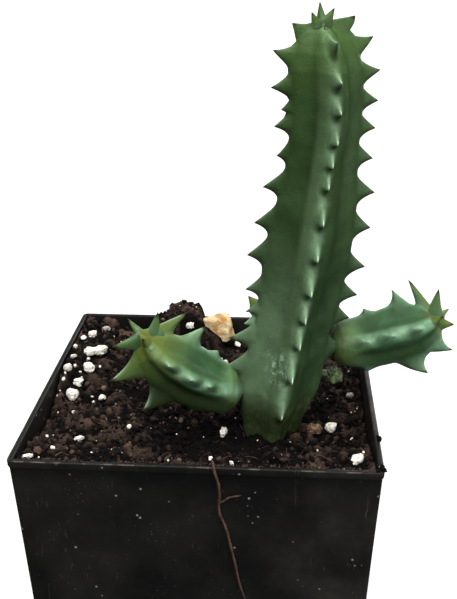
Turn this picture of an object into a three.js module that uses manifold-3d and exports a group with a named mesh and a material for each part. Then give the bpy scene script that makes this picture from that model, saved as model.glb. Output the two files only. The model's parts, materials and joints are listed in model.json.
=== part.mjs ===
// A lifesaver plant in its square nursery pot: a toothed succulent stem with two
// branches, standing in dark potting mix with loose perlite.
// Millimetres, +Z up. The origin is the middle of the pot's underside, and -Y is the front.

import * as THREE from 'three'
import { mergeVertices } from 'three/addons/utils/BufferGeometryUtils.js'
import Module from 'manifold-3d'

const wasm = await Module()
wasm.setup()

// Pot
const POT_WIDTH = 70
const POT_HEIGHT = 72
const DRAFT = THREE.MathUtils.degToRad(2.62)
const WALL = 0.9
const FLOOR = 1.4
const CORNER_RADIUS = 1.2
const LIP_HEIGHT = 1.6
const LIP_PROUD = 0.2
const FOOT_BEVEL = 0.8
const DRAIN_RADIUS = 3
const DRAIN_OFFSET = 17
const CORNER_STEPS = 5

// Edges shorter than this are drawn together where pieces are joined or cut
const SMALLEST_EDGE = 0.01

// Fit between pieces that touch
const GAP = 0.3

// Soil, as heights above or below the rim
const SOIL_BACK = -5
const SOIL_FRONT = -0.9
const FRONT_SLOPE = { from: -16, to: -30 }
const SOIL_CORNER_RISE = 3.4
const CORNER_SLOPE = { x: -16, y: -6, wide: 12, deep: 16 }
const SOIL_CELLS = 26
const CRUMB_HEIGHT = 0.45
const CLUMP = { x: -8.1, y: 26.8, radius: 6.2, height: 10.1, broad: 1.55, top: 0.62 }
// The clump's left end is lower by this share of its height
const CLUMP_STEP = { x: -10.6, wide: 2.5, lower: 0.13 }

// Stems
const RIBS = 4
const COLUMNS_PER_RIB = 5
const FACE_DEPTH = 0.3
const FACE_CURVE = 2.4
const ROW_STEP = 2.9
// A branch is round at its root, and its grooves deepen from there
const BRANCH_GROOVE = { from: 0.5, over: 6 }

// Teeth: half widths at the foot and the tip, and the sections in between as shares of the
// tooth's height, length and width. The first section is the root sunk in the stem
const TOOTH_WIDTH = 2.3
const TIP_WIDTH = 0.3
const TOOTH_SECTIONS = [
  { rise: -0.9, long: 1, wide: 1 },
  { rise: -0.02, long: 1, wide: 1 },
  { rise: 0.3, long: 0.46, wide: 0.5 },
  { rise: 0.66, long: 0.2, wide: 0.26 },
  { rise: 1, long: 0, wide: 0 },
]
const ROOT_DEPTH = 0.6
const HOOK = 1.4
const YOUNG_GIRTH = 0.4
const YOUNG_ROOT = 0.5
const YOUNG_DIP = 0.5

// Root
const ROOT_RADIUS = 0.42
const ROOT_SIDES = 6

const COLOURS = {
  plastic: { color: 0x1c1c1b, roughness: 0.45, metalness: 0 },
  soil: { color: 0x3b342e, roughness: 0.95, metalness: 0 },
  stem: { color: 0x40583c, roughness: 0.5, metalness: 0 },
  branch: { color: 0x52704c, roughness: 0.5, metalness: 0 },
  bud: { color: 0x6d7b45, roughness: 0.55, metalness: 0 },
  root: { color: 0x4b3a2c, roughness: 0.85, metalness: 0 },
  stone: { color: 0xd9c6a0, roughness: 0.85, metalness: 0 },
  bark: { color: 0x6b4a33, roughness: 0.9, metalness: 0 },
  perlite: { color: 0xe4e0d8, roughness: 0.9, metalness: 0 },
  grit: { color: 0x9a948c, roughness: 0.9, metalness: 0 },
}

// A point given by its height above the rim
const fromRim = (x, y, above) => new THREE.Vector3(x, y, POT_HEIGHT + above)

const smooth = (t) => {
  const s = THREE.MathUtils.clamp(t, 0, 1)
  return s * s * (3 - 2 * s)
}

// Value at t of a line through [position, value] pairs
function alongLine(pairs, t) {
  if (t <= pairs[0][0]) return pairs[0][1]
  for (let i = 1; i < pairs.length; i += 1) {
    const [position, value] = pairs[i]
    if (t <= position) {
      const [before, from] = pairs[i - 1]
      return from + ((value - from) * (t - before)) / (position - before)
    }
  }
  return pairs[pairs.length - 1][1]
}

function randomFrom(seed) {
  let state = seed * 2654435761 + 12345
  return () => {
    state = (Math.imul(state, 1664525) + 1013904223) >>> 0
    return state / 4294967296
  }
}

// A closed geometry as a solid that can be cut and joined
function solidOf(geometry) {
  geometry.deleteAttribute('normal')
  geometry.deleteAttribute('uv')
  const merged = mergeVertices(geometry, 1e-4)
  const vertProperties = new Float32Array(merged.attributes.position.array)
  const triVerts = new Uint32Array(merged.index.array)
  const solid = new wasm.Manifold(new wasm.Mesh({ numProp: 3, vertProperties, triVerts }))
  if (solid.volume() > 0) return solid
  const flipped = triVerts.map((_, i) => triVerts[i - (i % 3) + (2 - (i % 3))])
  return new wasm.Manifold(new wasm.Mesh({ numProp: 3, vertProperties, triVerts: flipped }))
}

// The largest body of a solid that a cut may have split
function mainBody(solid) {
  const bodies = solid.decompose()
  return bodies.reduce((a, b) => (b.volume() > a.volume() ? b : a))
}

function namedMesh(name, solid, look) {
  const { vertProperties, triVerts } = mainBody(solid).simplify(SMALLEST_EDGE).getMesh()
  const geometry = new THREE.BufferGeometry()
  geometry.setAttribute('position', new THREE.BufferAttribute(vertProperties, 3))
  geometry.setIndex(new THREE.BufferAttribute(triVerts, 1))
  geometry.computeVertexNormals()
  const mesh = new THREE.Mesh(geometry, new THREE.MeshStandardMaterial(COLOURS[look]))
  mesh.name = name
  return mesh
}

// A skin over rings of equal count, closed by a fan at each end
function loft(rings) {
  const count = rings[0].length
  const points = rings.flat()
  const index = []
  for (let k = 0; k + 1 < rings.length; k += 1) {
    for (let i = 0; i < count; i += 1) {
      const a = k * count + i
      const b = k * count + ((i + 1) % count)
      index.push(a, b, b + count, a, b + count, a + count)
    }
  }
  const closeEnd = (first, turned) => {
    const centre = new THREE.Vector3()
    for (let i = 0; i < count; i += 1) centre.addScaledVector(points[first + i], 1 / count)
    const middle = points.push(centre) - 1
    for (let i = 0; i < count; i += 1) {
      const a = first + i
      const b = first + ((i + 1) % count)
      index.push(...(turned ? [middle, b, a] : [middle, a, b]))
    }
  }
  closeEnd(0, true)
  closeEnd((rings.length - 1) * count, false)
  const geometry = new THREE.BufferGeometry().setFromPoints(points)
  geometry.setIndex(index)
  return solidOf(geometry)
}

// Pot

function roundedSquare(half, radius, z) {
  const ring = []
  for (let corner = 0; corner < 4; corner += 1) {
    for (let step = 0; step <= CORNER_STEPS; step += 1) {
      const angle = ((corner + step / CORNER_STEPS) * Math.PI) / 2
      const signX = corner === 0 || corner === 3 ? 1 : -1
      const signY = corner < 2 ? 1 : -1
      const x = signX * (half - radius) + radius * Math.cos(angle)
      const y = signY * (half - radius) + radius * Math.sin(angle)
      ring.push(new THREE.Vector3(x, y, z))
    }
  }
  return ring
}

// Half the pot's outside width below the lip, at a height over the underside
const halfWidthAt = (z) => POT_WIDTH / 2 - LIP_PROUD - (POT_HEIGHT - z) * Math.tan(DRAFT)

// The space within the walls, made smaller all round by a clearance
function potInside(clearance, top) {
  const ring = (z) =>
    roundedSquare(halfWidthAt(z) - WALL - clearance, CORNER_RADIUS - WALL, z)
  return loft([ring(FLOOR + clearance), ring(top)])
}

function drainHole(x, y) {
  const hole = new THREE.CylinderGeometry(DRAIN_RADIUS, DRAIN_RADIUS, 4 * FLOOR, 20)
  hole.rotateX(Math.PI / 2)
  hole.translate(x, y, FLOOR / 2)
  return solidOf(hole)
}

function makePot() {
  const lipFoot = POT_HEIGHT - LIP_HEIGHT
  const square = (proud, z) => roundedSquare(halfWidthAt(z) + proud, CORNER_RADIUS, z)
  let pot = loft([
    square(-FOOT_BEVEL, 0),
    square(0, FOOT_BEVEL),
    square(0, lipFoot),
    square(LIP_PROUD, lipFoot + LIP_PROUD),
    square(LIP_PROUD, POT_HEIGHT),
  ])
  pot = pot.subtract(potInside(0, POT_HEIGHT + 1))
  for (const x of [-DRAIN_OFFSET, DRAIN_OFFSET]) {
    for (const y of [-DRAIN_OFFSET, DRAIN_OFFSET]) pot = pot.subtract(drainHole(x, y))
  }
  return pot
}

// Soil

// Crumbs as three crossed waves whose lengths never agree
function crumbs(x, y) {
  const broad = Math.sin(0.83 * x + 1.3 * Math.sin(0.37 * y)) * Math.cos(0.71 * y + 0.9)
  const fine = Math.sin(1.37 * x - 0.61 * y + 2) * Math.sin(0.52 * x + 1.19 * y)
  return CRUMB_HEIGHT * (broad + 0.8 * fine)
}

function clumpRise(x, y) {
  const far = Math.hypot((x - CLUMP.x) / CLUMP.broad, y - CLUMP.y) / CLUMP.radius
  const step = 1 - CLUMP_STEP.lower * smooth((CLUMP_STEP.x - x) / CLUMP_STEP.wide)
  return CLUMP.height * step * (1 - smooth((far - CLUMP.top) / (1 - CLUMP.top)))
}

// The soil's height over the rim: high at the front, low round the stem and behind it
function soilLevel(x, y) {
  const front = smooth((y - FRONT_SLOPE.from) / (FRONT_SLOPE.to - FRONT_SLOPE.from))
  const leftward = smooth((CORNER_SLOPE.x - x) / CORNER_SLOPE.wide)
  const corner = leftward * smooth((y - CORNER_SLOPE.y) / CORNER_SLOPE.deep)
  const ground = THREE.MathUtils.lerp(SOIL_BACK, SOIL_FRONT, front) + SOIL_CORNER_RISE * corner
  return ground + crumbs(x, y) + clumpRise(x, y)
}

function makeSoil() {
  const reach = POT_WIDTH / 2
  const top = []
  const bottom = []
  for (let row = 0; row <= SOIL_CELLS; row += 1) {
    for (let column = 0; column <= SOIL_CELLS; column += 1) {
      const x = -reach + (2 * reach * column) / SOIL_CELLS
      const y = -reach + (2 * reach * row) / SOIL_CELLS
      top.push(fromRim(x, y, soilLevel(x, y)))
      bottom.push(new THREE.Vector3(x, y, 0))
    }
  }
  const width = SOIL_CELLS + 1
  const below = top.length
  const index = []
  for (let row = 0; row < SOIL_CELLS; row += 1) {
    for (let column = 0; column < SOIL_CELLS; column += 1) {
      const a = row * width + column
      const d = a + width
      index.push(a, a + 1, d + 1, a, d + 1, d)
      index.push(below + a, below + d + 1, below + a + 1, below + a, below + d, below + d + 1)
    }
  }
  for (let i = 0; i < SOIL_CELLS; i += 1) {
    const edges = [
      [i + 1, i],
      [i * width, (i + 1) * width],
      [(i + 1) * width + SOIL_CELLS, i * width + SOIL_CELLS],
      [SOIL_CELLS * width + i, SOIL_CELLS * width + i + 1],
    ]
    for (const [a, b] of edges) index.push(a, b, below + b, a, below + b, below + a)
  }
  const geometry = new THREE.BufferGeometry().setFromPoints([...top, ...bottom])
  geometry.setIndex(index)
  const highest = POT_HEIGHT + CLUMP.height + SOIL_CORNER_RISE
  return solidOf(geometry).intersect(potInside(GAP, highest))
}

// Stems

// A stem's axis with its turned frame: forward is the reference direction squared to the
// axis, and azimuths are measured from forward towards the side. An upright stem keeps its
// sections level, however its axis leans
class StemAxis {
  constructor(points, reference, upright) {
    this.curve = new THREE.CatmullRomCurve3(points, false, 'centripetal')
    this.length = this.curve.getLength()
    this.reference = reference
    this.upright = upright
  }

  frame(distance) {
    const share = THREE.MathUtils.clamp(distance / this.length, 0, 1)
    const tangent = this.curve.getTangentAt(share)
    const place = this.curve.getPointAt(share)
    place.addScaledVector(tangent, distance - share * this.length)
    if (this.upright) tangent.set(0, 0, 1)
    const forward = this.reference.clone()
    forward.addScaledVector(tangent, -forward.dot(tangent)).normalize()
    const side = tangent.clone().cross(forward)
    return { place, tangent, forward, side }
  }

  outward(frame, azimuth) {
    const direction = frame.forward.clone().multiplyScalar(Math.cos(azimuth))
    return direction.addScaledVector(frame.side, Math.sin(azimuth))
  }
}

// The stem without its teeth: blunt ribs with broad, slightly hollow faces between them
function stemBody(stem, grow) {
  const rows = Math.round(stem.axis.length / ROW_STEP)
  const columns = RIBS * COLUMNS_PER_RIB
  const rings = []
  for (let row = 0; row <= rows; row += 1) {
    const distance = (stem.axis.length * row) / rows
    const frame = stem.axis.frame(distance)
    const crest = alongLine(stem.crest, distance) + grow
    const ring = []
    for (let column = 0; column < columns; column += 1) {
      const azimuth = (2 * Math.PI * column) / columns
      const hollow = Math.abs(Math.sin((azimuth * RIBS) / 2)) ** FACE_CURVE
      const face = FACE_DEPTH * stem.groove(distance) * hollow
      const outward = stem.axis.outward(frame, azimuth + stem.turn(distance))
      ring.push(frame.place.clone().addScaledVector(outward, crest * (1 - face)))
    }
    rings.push(ring)
  }
  return loft(rings)
}

// One tooth: a curved spike, long at its foot along the rib and drawn in to its tip. Its
// sections lie along the rib at the foot and square to the spike at the tip, and a young
// tooth, which stands up along the stem, is square to itself all the way
function tooth(stem, { rib, at, reach, lean, foot, young = false }, grow) {
  const baseAt = Math.min(at - lean, stem.axis.length - YOUNG_ROOT)
  const dip = alongLine(stem.crest, baseAt) * (young ? YOUNG_DIP : 1)
  const girth = Math.max(dip / stem.thickest, YOUNG_GIRTH)
  const rings = TOOTH_SECTIONS.map(({ rise, long, wide }) => {
    const forward = baseAt + (at - baseAt) * (young ? rise : Math.max(rise, 0) ** HOOK)
    const frame = stem.axis.frame(forward)
    const azimuth = (rib * 2 * Math.PI) / RIBS + stem.turn(forward)
    const outward = stem.axis.outward(frame, azimuth)
    const across = frame.tangent.clone().cross(outward)
    const spine = outward.clone().multiplyScalar(reach - dip)
    spine.addScaledVector(frame.tangent, at - baseAt).normalize()
    const squared = spine.cross(across)
    const along = frame.tangent.clone().lerp(squared, young ? 1 : Math.max(rise, 0)).normalize()
    const sunk = rise < 0 && !young
    const tall = dip + rise * (sunk ? ROOT_DEPTH * dip : reach - dip)
    const centre = frame.place.clone().addScaledVector(outward, tall + (rise === 1 ? grow : 0))
    const halfLong = TIP_WIDTH + (foot - TIP_WIDTH) * long + grow
    const halfWide = TIP_WIDTH + (TOOTH_WIDTH - TIP_WIDTH) * wide * girth + grow
    return [
      centre.clone().addScaledVector(along, halfLong),
      centre.clone().addScaledVector(across, halfWide),
      centre.clone().addScaledVector(along, -halfLong),
      centre.clone().addScaledVector(across, -halfWide),
    ]
  })
  return loft(rings)
}

function makeStem(stem, grow = 0) {
  const teeth = stem.teeth.map((each) => tooth(stem, each, grow))
  return wasm.Manifold.union([stemBody(stem, grow), ...teeth])
}

const branchGroove = (distance) => smooth((distance - BRANCH_GROOVE.from) / BRANCH_GROOVE.over)

function describeStem({ points, reference, upright = false, groove = branchGroove, crest, turn,
  teeth }) {
  const axis = new StemAxis(points, reference, upright)
  const thickest = Math.max(...crest.map(([, radius]) => radius))
  return { axis, crest, groove, turn, teeth, thickest }
}

// Main stem: its tooth tips stand on four rows at these heights above the rim
const STEM_FOOT = -13
const MAIN_ROWS = [
  [2.2, 11.5, 18.5, 23.8, 29.5, 36.3, 42.9, 49.4, 53.2, 57.2, 62.5, 67.9, 74.6],
  [13, 20, 25, 31, 39, 46, 52.5, 58, 63, 68.5, 74.4, 78],
  [6, 13, 20.5, 26.5, 33, 39.5, 46, 52, 58, 64, 70, 75.5],
  [4.5, 9.6, 16.2, 22, 26.8, 34, 40.5, 47.5, 53.5, 59, 62, 66, 72.5, 77],
]
const MAIN_REACH = [
  [2, 9.6], [10, 12.2], [17, 11.6], [24, 11.4], [30, 11.8], [38, 11.4], [46, 10.8],
  [53, 9.5], [62, 9.6], [67, 10.4], [73, 9.3], [74.4, 9.1], [77, 5.5], [78, 6],
]
// Teeth that are longer or shorter, or slimmer at the foot, than their neighbours
const UNEVEN_TEETH = [
  { rib: 1, height: 20, longer: -0.5 },
  { rib: 3, height: 16.2, longer: 0.6 },
  { rib: 3, height: 22, longer: -1.4, slim: 0.6 },
  { rib: 3, height: 26.8, longer: -0.7, slim: 0.85 },
  { rib: 3, height: 53.5, longer: -0.9 },
  { rib: 3, height: 62, longer: -1.2, slim: 0.7 },
]
const MAIN_LEAN = [[46, -0.5], [60, -0.4], [66, 0], [72.5, 1.1], [77, 1.6]]
const MAIN_FOOT = [[15, 3.4], [22, 3], [32, 3.3], [46, 3.3], [52, 2.7], [77, 2.6]]
// The youngest tooth of each row stands up beside the growing tip
const MAIN_YOUNG = [
  { height: 76.8, reach: 1.6 }, { height: 79.3, reach: 2.3 },
  { height: 80.3, reach: 0.8 }, { height: 78.7, reach: 1.8 },
]
const YOUNG_LEAN = 2.6
const YOUNG_FOOT = 0.9

function mainTooth(rib, height) {
  const uneven = UNEVEN_TEETH.find((each) => each.rib === rib && each.height === height)
  const { longer = 0, slim = 1 } = uneven ?? {}
  return {
    rib,
    at: height - STEM_FOOT,
    reach: alongLine(MAIN_REACH, height) + longer,
    lean: alongLine(MAIN_LEAN, height),
    foot: alongLine(MAIN_FOOT, height) * slim,
  }
}

function mainStem() {
  const grown = MAIN_ROWS.flatMap((heights, rib) =>
    heights.map((height) => mainTooth(rib, height)))
  const young = MAIN_YOUNG.map(({ height, reach }, rib) => ({
    rib,
    at: height - STEM_FOOT,
    reach,
    lean: YOUNG_LEAN,
    foot: YOUNG_FOOT,
    young: true,
  }))
  const crest = [
    [-13, 5.2], [-8, 5.4], [-3, 6.1], [0, 7.1], [5, 8.2], [12, 8], [17, 7.5], [24, 7.9],
    [32, 8.4], [38, 8.2], [44, 7.6], [50, 6.9], [55, 6.6], [69, 6.8], [72, 5.9], [74, 4.6],
    [75.6, 3], [76.4, 1],
  ]
  return describeStem({
    points: [
      fromRim(13.8, -11.2, STEM_FOOT), fromRim(14, -11.2, -4), fromRim(15.5, -11.2, 6),
      fromRim(18.5, -11.2, 22), fromRim(20.6, -11.2, 36), fromRim(22.3, -11.2, 50),
      fromRim(22.9, -11.2, 62), fromRim(22.4, -11.2, 70), fromRim(21.7, -11.2, 76.4),
    ],
    reference: new THREE.Vector3(0, -1, 0),
    upright: true,
    groove: () => 1,
    crest: crest.map(([height, radius]) => [height - STEM_FOOT, radius]),
    turn: (distance) => THREE.MathUtils.degToRad(7 + 7 * smooth((distance - 60) / 14)),
    teeth: [...grown, ...young],
  })
}

// Branch teeth are rows of [distance along the axis, reach from it, lean to the tip, half foot],
// and the last tooth of each row is the young one at the growing tip
const branchTeeth = (rows) =>
  rows.flatMap((row, rib) =>
    row.map(([at, reach, lean, foot], i) => {
      const young = i === row.length - 1
      return { rib, at, reach, lean, foot, young }
    }))

// The branches' ribs are turned so that one looks up and out at the front
const BRANCH_TILT = THREE.MathUtils.degToRad(22)
const branchReference = new THREE.Vector3(0, -Math.cos(BRANCH_TILT), Math.sin(BRANCH_TILT))

function leftBranch() {
  return describeStem({
    points: [
      fromRim(7.8, -12.5, 4.6), fromRim(3.6, -13.6, 5.4), fromRim(-0.9, -14.7, 7.7),
      fromRim(-5, -16.4, 11.2), fromRim(-8.8, -18, 15.4), fromRim(-11.7, -19.2, 19.6),
    ],
    reference: branchReference,
    crest: [
      [0, 1.6], [0.9, 2.9], [1.8, 4.2], [3.3, 5.2], [6, 5.6], [12, 6.1], [17, 5.9],
      [22, 4.5], [26.3, 1],
    ],
    turn: () => THREE.MathUtils.degToRad(5),
    teeth: branchTeeth([
      [[10.2, 6.8, 1.2, 3], [15.6, 7.8, 1.6, 3], [21, 7, 1.8, 2.6], [26.6, 3.4, 2.6, 1]],
      [[7.8, 7, -0.6, 2.6], [15, 9.9, -1, 3.2], [22.6, 10, -0.8, 3], [27, 5.4, 3.2, 1.2]],
      [[9.4, 7.2, 0, 2.8], [15.4, 9, 0.4, 3], [21.6, 8, 1.4, 2.4], [28, 4.6, 3.2, 1.2]],
      [[7.6, 6.2, 0, 2.6], [15.6, 11, 1.2, 3.4], [22.8, 10.6, 1.4, 2.8], [27.8, 5.6, 3, 1.2]],
    ]),
  })
}

function rightBranch() {
  return describeStem({
    points: [
      fromRim(26.8, -8, 13), fromRim(29.6, -7.4, 13.1), fromRim(33.6, -6.7, 13.5),
      fromRim(37.8, -6.5, 14.7), fromRim(41.5, -6.5, 15.7), fromRim(44.5, -6.5, 17),
      fromRim(47, -6.5, 18.8),
    ],
    reference: branchReference,
    crest: [
      [0, 2.9], [0.7, 4], [1.6, 4.6], [3, 4.9], [5, 5.2], [8, 5.5], [13, 5.9], [17, 5.3],
      [19.6, 3.9], [21.8, 1],
    ],
    turn: () => 0,
    teeth: branchTeeth([
      [[5.6, 6, 1.4, 3], [12.2, 7, 2, 3.2], [18.2, 6.6, 2, 2.6], [22.8, 3.2, 2.6, 1]],
      [[5.6, 6.2, 0, 2.6], [16, 9.3, 2, 3.8], [20.2, 7.1, 1.6, 1.9], [23.3, 2.8, 2.4, 1.1]],
      [[6.4, 7.6, 0, 2.8], [12.8, 9, 0.6, 3], [18.2, 8.4, 1.4, 2.4], [23.8, 3.8, 2.8, 1.1]],
      [[6.9, 6.6, -0.4, 2.6], [13.2, 9, -1.2, 3], [20.8, 9.7, -0.4, 3], [24.6, 4.8, 3, 1.2]],
    ]),
  })
}

function backOffset() {
  return describeStem({
    points: [
      fromRim(14.1, -6.5, 12), fromRim(12.8, -3.4, 13), fromRim(11.4, -0.8, 15),
      fromRim(10.2, 0.6, 18.6),
    ],
    reference: new THREE.Vector3(-1, 0, 0),
    crest: [[0, 2.4], [2.5, 2.9], [5, 3], [7.2, 1.9], [9.4, 0.7]],
    turn: () => 0,
    teeth: branchTeeth([
      [[7.4, 3.9, 0, 1.8], [12.6, 1.4, 2.4, 1.1]],
      [[9.8, 2.4, 2, 0.9]],
      [[5.4, 4.4, 0, 1.8], [10, 2.2, 2, 0.9]],
      [[9.6, 2.4, 2, 0.9]],
    ]),
  })
}

const BUD = { place: [25.2, -7.8, 6.3], halfSize: [3.2, 1.6, 1.7] }

function makeBud() {
  const bud = new THREE.IcosahedronGeometry(1, 2)
  bud.scale(...BUD.halfSize)
  bud.translate(...fromRim(...BUD.place))
  return solidOf(bud)
}

// Root: over the rim and down the front wall, a hair's breadth off it
function rootSection(radius) {
  const outline = []
  for (let side = 0; side < ROOT_SIDES; side += 1) {
    const angle = (2 * Math.PI * side) / ROOT_SIDES
    outline.push(new THREE.Vector2(radius * Math.cos(angle), radius * Math.sin(angle)))
  }
  return new THREE.Shape(outline)
}

function rootLength(points, radius, steps) {
  const extrudePath = new THREE.CatmullRomCurve3(points, false, 'centripetal')
  return solidOf(new THREE.ExtrudeGeometry(rootSection(radius), { steps, extrudePath }))
}

function makeRoot() {
  const off = GAP + ROOT_RADIUS
  const onWall = (x, below) =>
    new THREE.Vector3(x, -halfWidthAt(POT_HEIGHT - below) - off, POT_HEIGHT - below)
  const overLip = (x, below) => onWall(x, below).add(new THREE.Vector3(0, -LIP_PROUD, 0))
  const root = rootLength([
    fromRim(3.3, -33.4, off),
    fromRim(3.7, -34.6, off + 0.1),
    overLip(4, 0.2),
    overLip(4.6, 2.6),
    onWall(4.9, 5.2),
    onWall(4.8, 9.4),
    onWall(6, 13.1),
    onWall(6.9, 17.4),
    onWall(7.7, 21.5),
    onWall(8.6, 26.7),
    onWall(9.6, 30.2),
    onWall(10.9, 34.5),
  ], ROOT_RADIUS, 26)
  const twig = rootLength([
    onWall(4.9, 7.4),
    onWall(5.6, 7),
    onWall(6.6, 6.2),
    onWall(8.9, 5.6),
  ], 0.75 * ROOT_RADIUS, 6)
  return root.add(twig)
}

// Loose pieces in the soil

function rock({ x, y, z, size, turned = 0, seed, detail = 1, blocky = 0.5 }, grow = 0) {
  const random = randomFrom(seed)
  const geometry = new THREE.IcosahedronGeometry(1, detail)
  geometry.deleteAttribute('normal')
  geometry.deleteAttribute('uv')
  const merged = mergeVertices(geometry, 1e-4)
  const position = merged.attributes.position
  const point = new THREE.Vector3()
  for (let i = 0; i < position.count; i += 1) {
    point.fromBufferAttribute(position, i)
    const boxy = Math.max(Math.abs(point.x), Math.abs(point.y), Math.abs(point.z))
    point.multiplyScalar((1 - blocky + blocky / boxy) * (0.86 + 0.16 * random()))
    point.set(
      point.x * (size[0] / 2 + grow),
      point.y * (size[1] / 2 + grow),
      point.z * (size[2] / 2 + grow),
    )
    position.setXYZ(i, point.x, point.y, point.z)
  }
  merged.rotateZ(THREE.MathUtils.degToRad(turned))
  merged.translate(x, y, z)
  return solidOf(merged)
}

// A grain sits in the soil to about a third of its height
function onSoil(grain) {
  const z = POT_HEIGHT + soilLevel(grain.x, grain.y) + 0.18 * grain.size[2]
  return { z, ...grain }
}

const STONE = {
  x: -0.2, y: 28.8, z: POT_HEIGHT - 0.4, size: [8.4, 5.6, 7], turned: 8, seed: 5, detail: 2,
  blocky: 0.7,
}
const BARK = { x: 22.8, y: -13.2, z: POT_HEIGHT - 3.7, size: [3.4, 2.4, 2.6], turned: 20, seed: 9 }
const PERLITE = [
  { x: -28, y: 14.9, size: [5.8, 3.2, 2.6], turned: 12, seed: 11 },
  { x: -30.8, y: 24.5, size: [2.3, 2.2, 2], seed: 12 },
  { x: -28, y: 7, size: [3, 2.6, 2.2], seed: 13 },
  { x: -29.8, y: 3, size: [2.5, 2.2, 1.9], turned: 30, seed: 14 },
  { x: -30.2, y: -0.9, size: [3, 3.1, 2.8], turned: 50, seed: 15 },
  { x: -23.7, y: -0.7, size: [1.8, 1.7, 1.5], seed: 16 },
  { x: -25.1, y: -18.5, size: [2.2, 1.4, 1.4], turned: 40, seed: 17 },
  { x: 4.2, y: -14.9, size: [1.5, 2.4, 1.8], turned: -10, seed: 18 },
  { x: 26.2, y: -10.8, size: [2.4, 2.4, 2.4], turned: 35, seed: 19 },
  { x: 30.3, y: -30, size: [2, 3.2, 2.1], turned: -35, seed: 20 },
  { x: -31.6, y: -32, size: [2.2, 1.5, 1.3], turned: 15, seed: 21 },
  { x: -6.4, y: 22.3, size: [2.2, 2, 2], seed: 22 },
].map(onSoil)
const GRIT = [
  { x: -28.1, y: 28.7, size: [2.4, 1.7, 1.5], seed: 31 },
  { x: 31, y: 4.4, size: [1.9, 1.6, 1.3], seed: 32 },
].map(onSoil)

// The whole plant

const main = mainStem()
const mainSolid = makeStem(main)
const mainClearance = makeStem(main, GAP)

const left = leftBranch()
const right = rightBranch()
const behind = backOffset()
const leftSolid = makeStem(left).subtract(mainClearance)
const rightSolid = makeStem(right).subtract(mainClearance)
const behindSolid = makeStem(behind).subtract(mainClearance)
const budSolid = makeBud().subtract(mainClearance)

const looseRocks = [STONE, BARK, ...PERLITE, ...GRIT]
const soilSolid = wasm.Manifold.difference([
  makeSoil(),
  stemBody(main, GAP),
  ...looseRocks.map((each) => rock(each, GAP)),
])

const plant = new THREE.Group()
plant.add(
  namedMesh('pot', makePot(), 'plastic'),
  namedMesh('soil', soilSolid, 'soil'),
  namedMesh('main_stem', mainSolid, 'stem'),
  namedMesh('left_branch', leftSolid, 'branch'),
  namedMesh('right_branch', rightSolid, 'branch'),
  namedMesh('back_offset', behindSolid, 'branch'),
  namedMesh('side_bud', budSolid, 'bud'),
  namedMesh('stray_root', makeRoot(), 'root'),
  namedMesh('tan_stone', rock(STONE), 'stone'),
  namedMesh('bark_chip', rock(BARK), 'bark'),
)
PERLITE.forEach((grain, i) => plant.add(namedMesh(`perlite_${i + 1}`, rock(grain), 'perlite')))
GRIT.forEach((grain, i) => plant.add(namedMesh(`grit_${i + 1}`, rock(grain), 'grit')))

export default plant
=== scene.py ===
# A lifesaver plant in its square nursery pot, with its living skin, soil and light.
# Lengths are in millimetres until a mesh is made. +Z is up and -Y is the front.

import itertools
import json
import math

import bmesh
import bpy
import numpy as np
from mathutils import Matrix, Vector

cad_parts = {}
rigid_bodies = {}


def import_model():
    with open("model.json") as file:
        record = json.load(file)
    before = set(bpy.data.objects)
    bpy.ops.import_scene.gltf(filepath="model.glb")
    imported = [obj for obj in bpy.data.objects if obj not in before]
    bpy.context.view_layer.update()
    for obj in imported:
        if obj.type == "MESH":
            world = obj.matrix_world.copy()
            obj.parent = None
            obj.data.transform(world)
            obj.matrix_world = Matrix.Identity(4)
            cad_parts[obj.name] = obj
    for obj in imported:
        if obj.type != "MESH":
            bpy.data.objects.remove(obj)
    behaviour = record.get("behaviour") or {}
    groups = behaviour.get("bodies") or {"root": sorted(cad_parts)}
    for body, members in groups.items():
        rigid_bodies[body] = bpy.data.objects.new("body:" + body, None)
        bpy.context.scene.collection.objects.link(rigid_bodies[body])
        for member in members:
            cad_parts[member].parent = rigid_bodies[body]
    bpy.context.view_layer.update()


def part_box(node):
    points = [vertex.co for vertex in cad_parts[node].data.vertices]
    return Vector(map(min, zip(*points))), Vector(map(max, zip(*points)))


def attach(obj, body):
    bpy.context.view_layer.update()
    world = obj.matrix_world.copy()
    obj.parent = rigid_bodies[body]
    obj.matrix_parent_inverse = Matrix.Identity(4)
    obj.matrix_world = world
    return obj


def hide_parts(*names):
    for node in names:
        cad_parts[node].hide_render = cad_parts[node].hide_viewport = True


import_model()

MM = 0.001
RIM = 72.0
RIBS = 4
HALF_RIB = math.pi / RIBS


def node_box(node):
    """The middle and half size of a node of the frame."""
    low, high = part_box(node)
    low, high = np.array(low) / MM, np.array(high) / MM
    return (low + high) / 2, (high - low) / 2


# Numbers along lines, and noise

def smooth(t):
    s = np.clip(t, 0, 1)
    return s * s * (3 - 2 * s)


def along_line(pairs, t):
    """The value at t of a line through (position, value) pairs."""
    return np.interp(t, [p for p, _ in pairs], [v for _, v in pairs])


def cell_value(cells, seed):
    """A fixed random number from -1 to 1 for each whole-numbered cell."""
    mixed = cells[:, 0] * 73856093 ^ cells[:, 1] * 19349663 ^ cells[:, 2] * 83492791
    mixed = mixed ^ (seed * 40503 + 9176)
    mixed = (mixed ^ (mixed >> 13)) * 1274126177
    mixed = (mixed ^ (mixed >> 15)) * 668265263
    return ((mixed ^ (mixed >> 16)) & 0xFFFFFF) / 0x7FFFFF - 1


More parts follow.
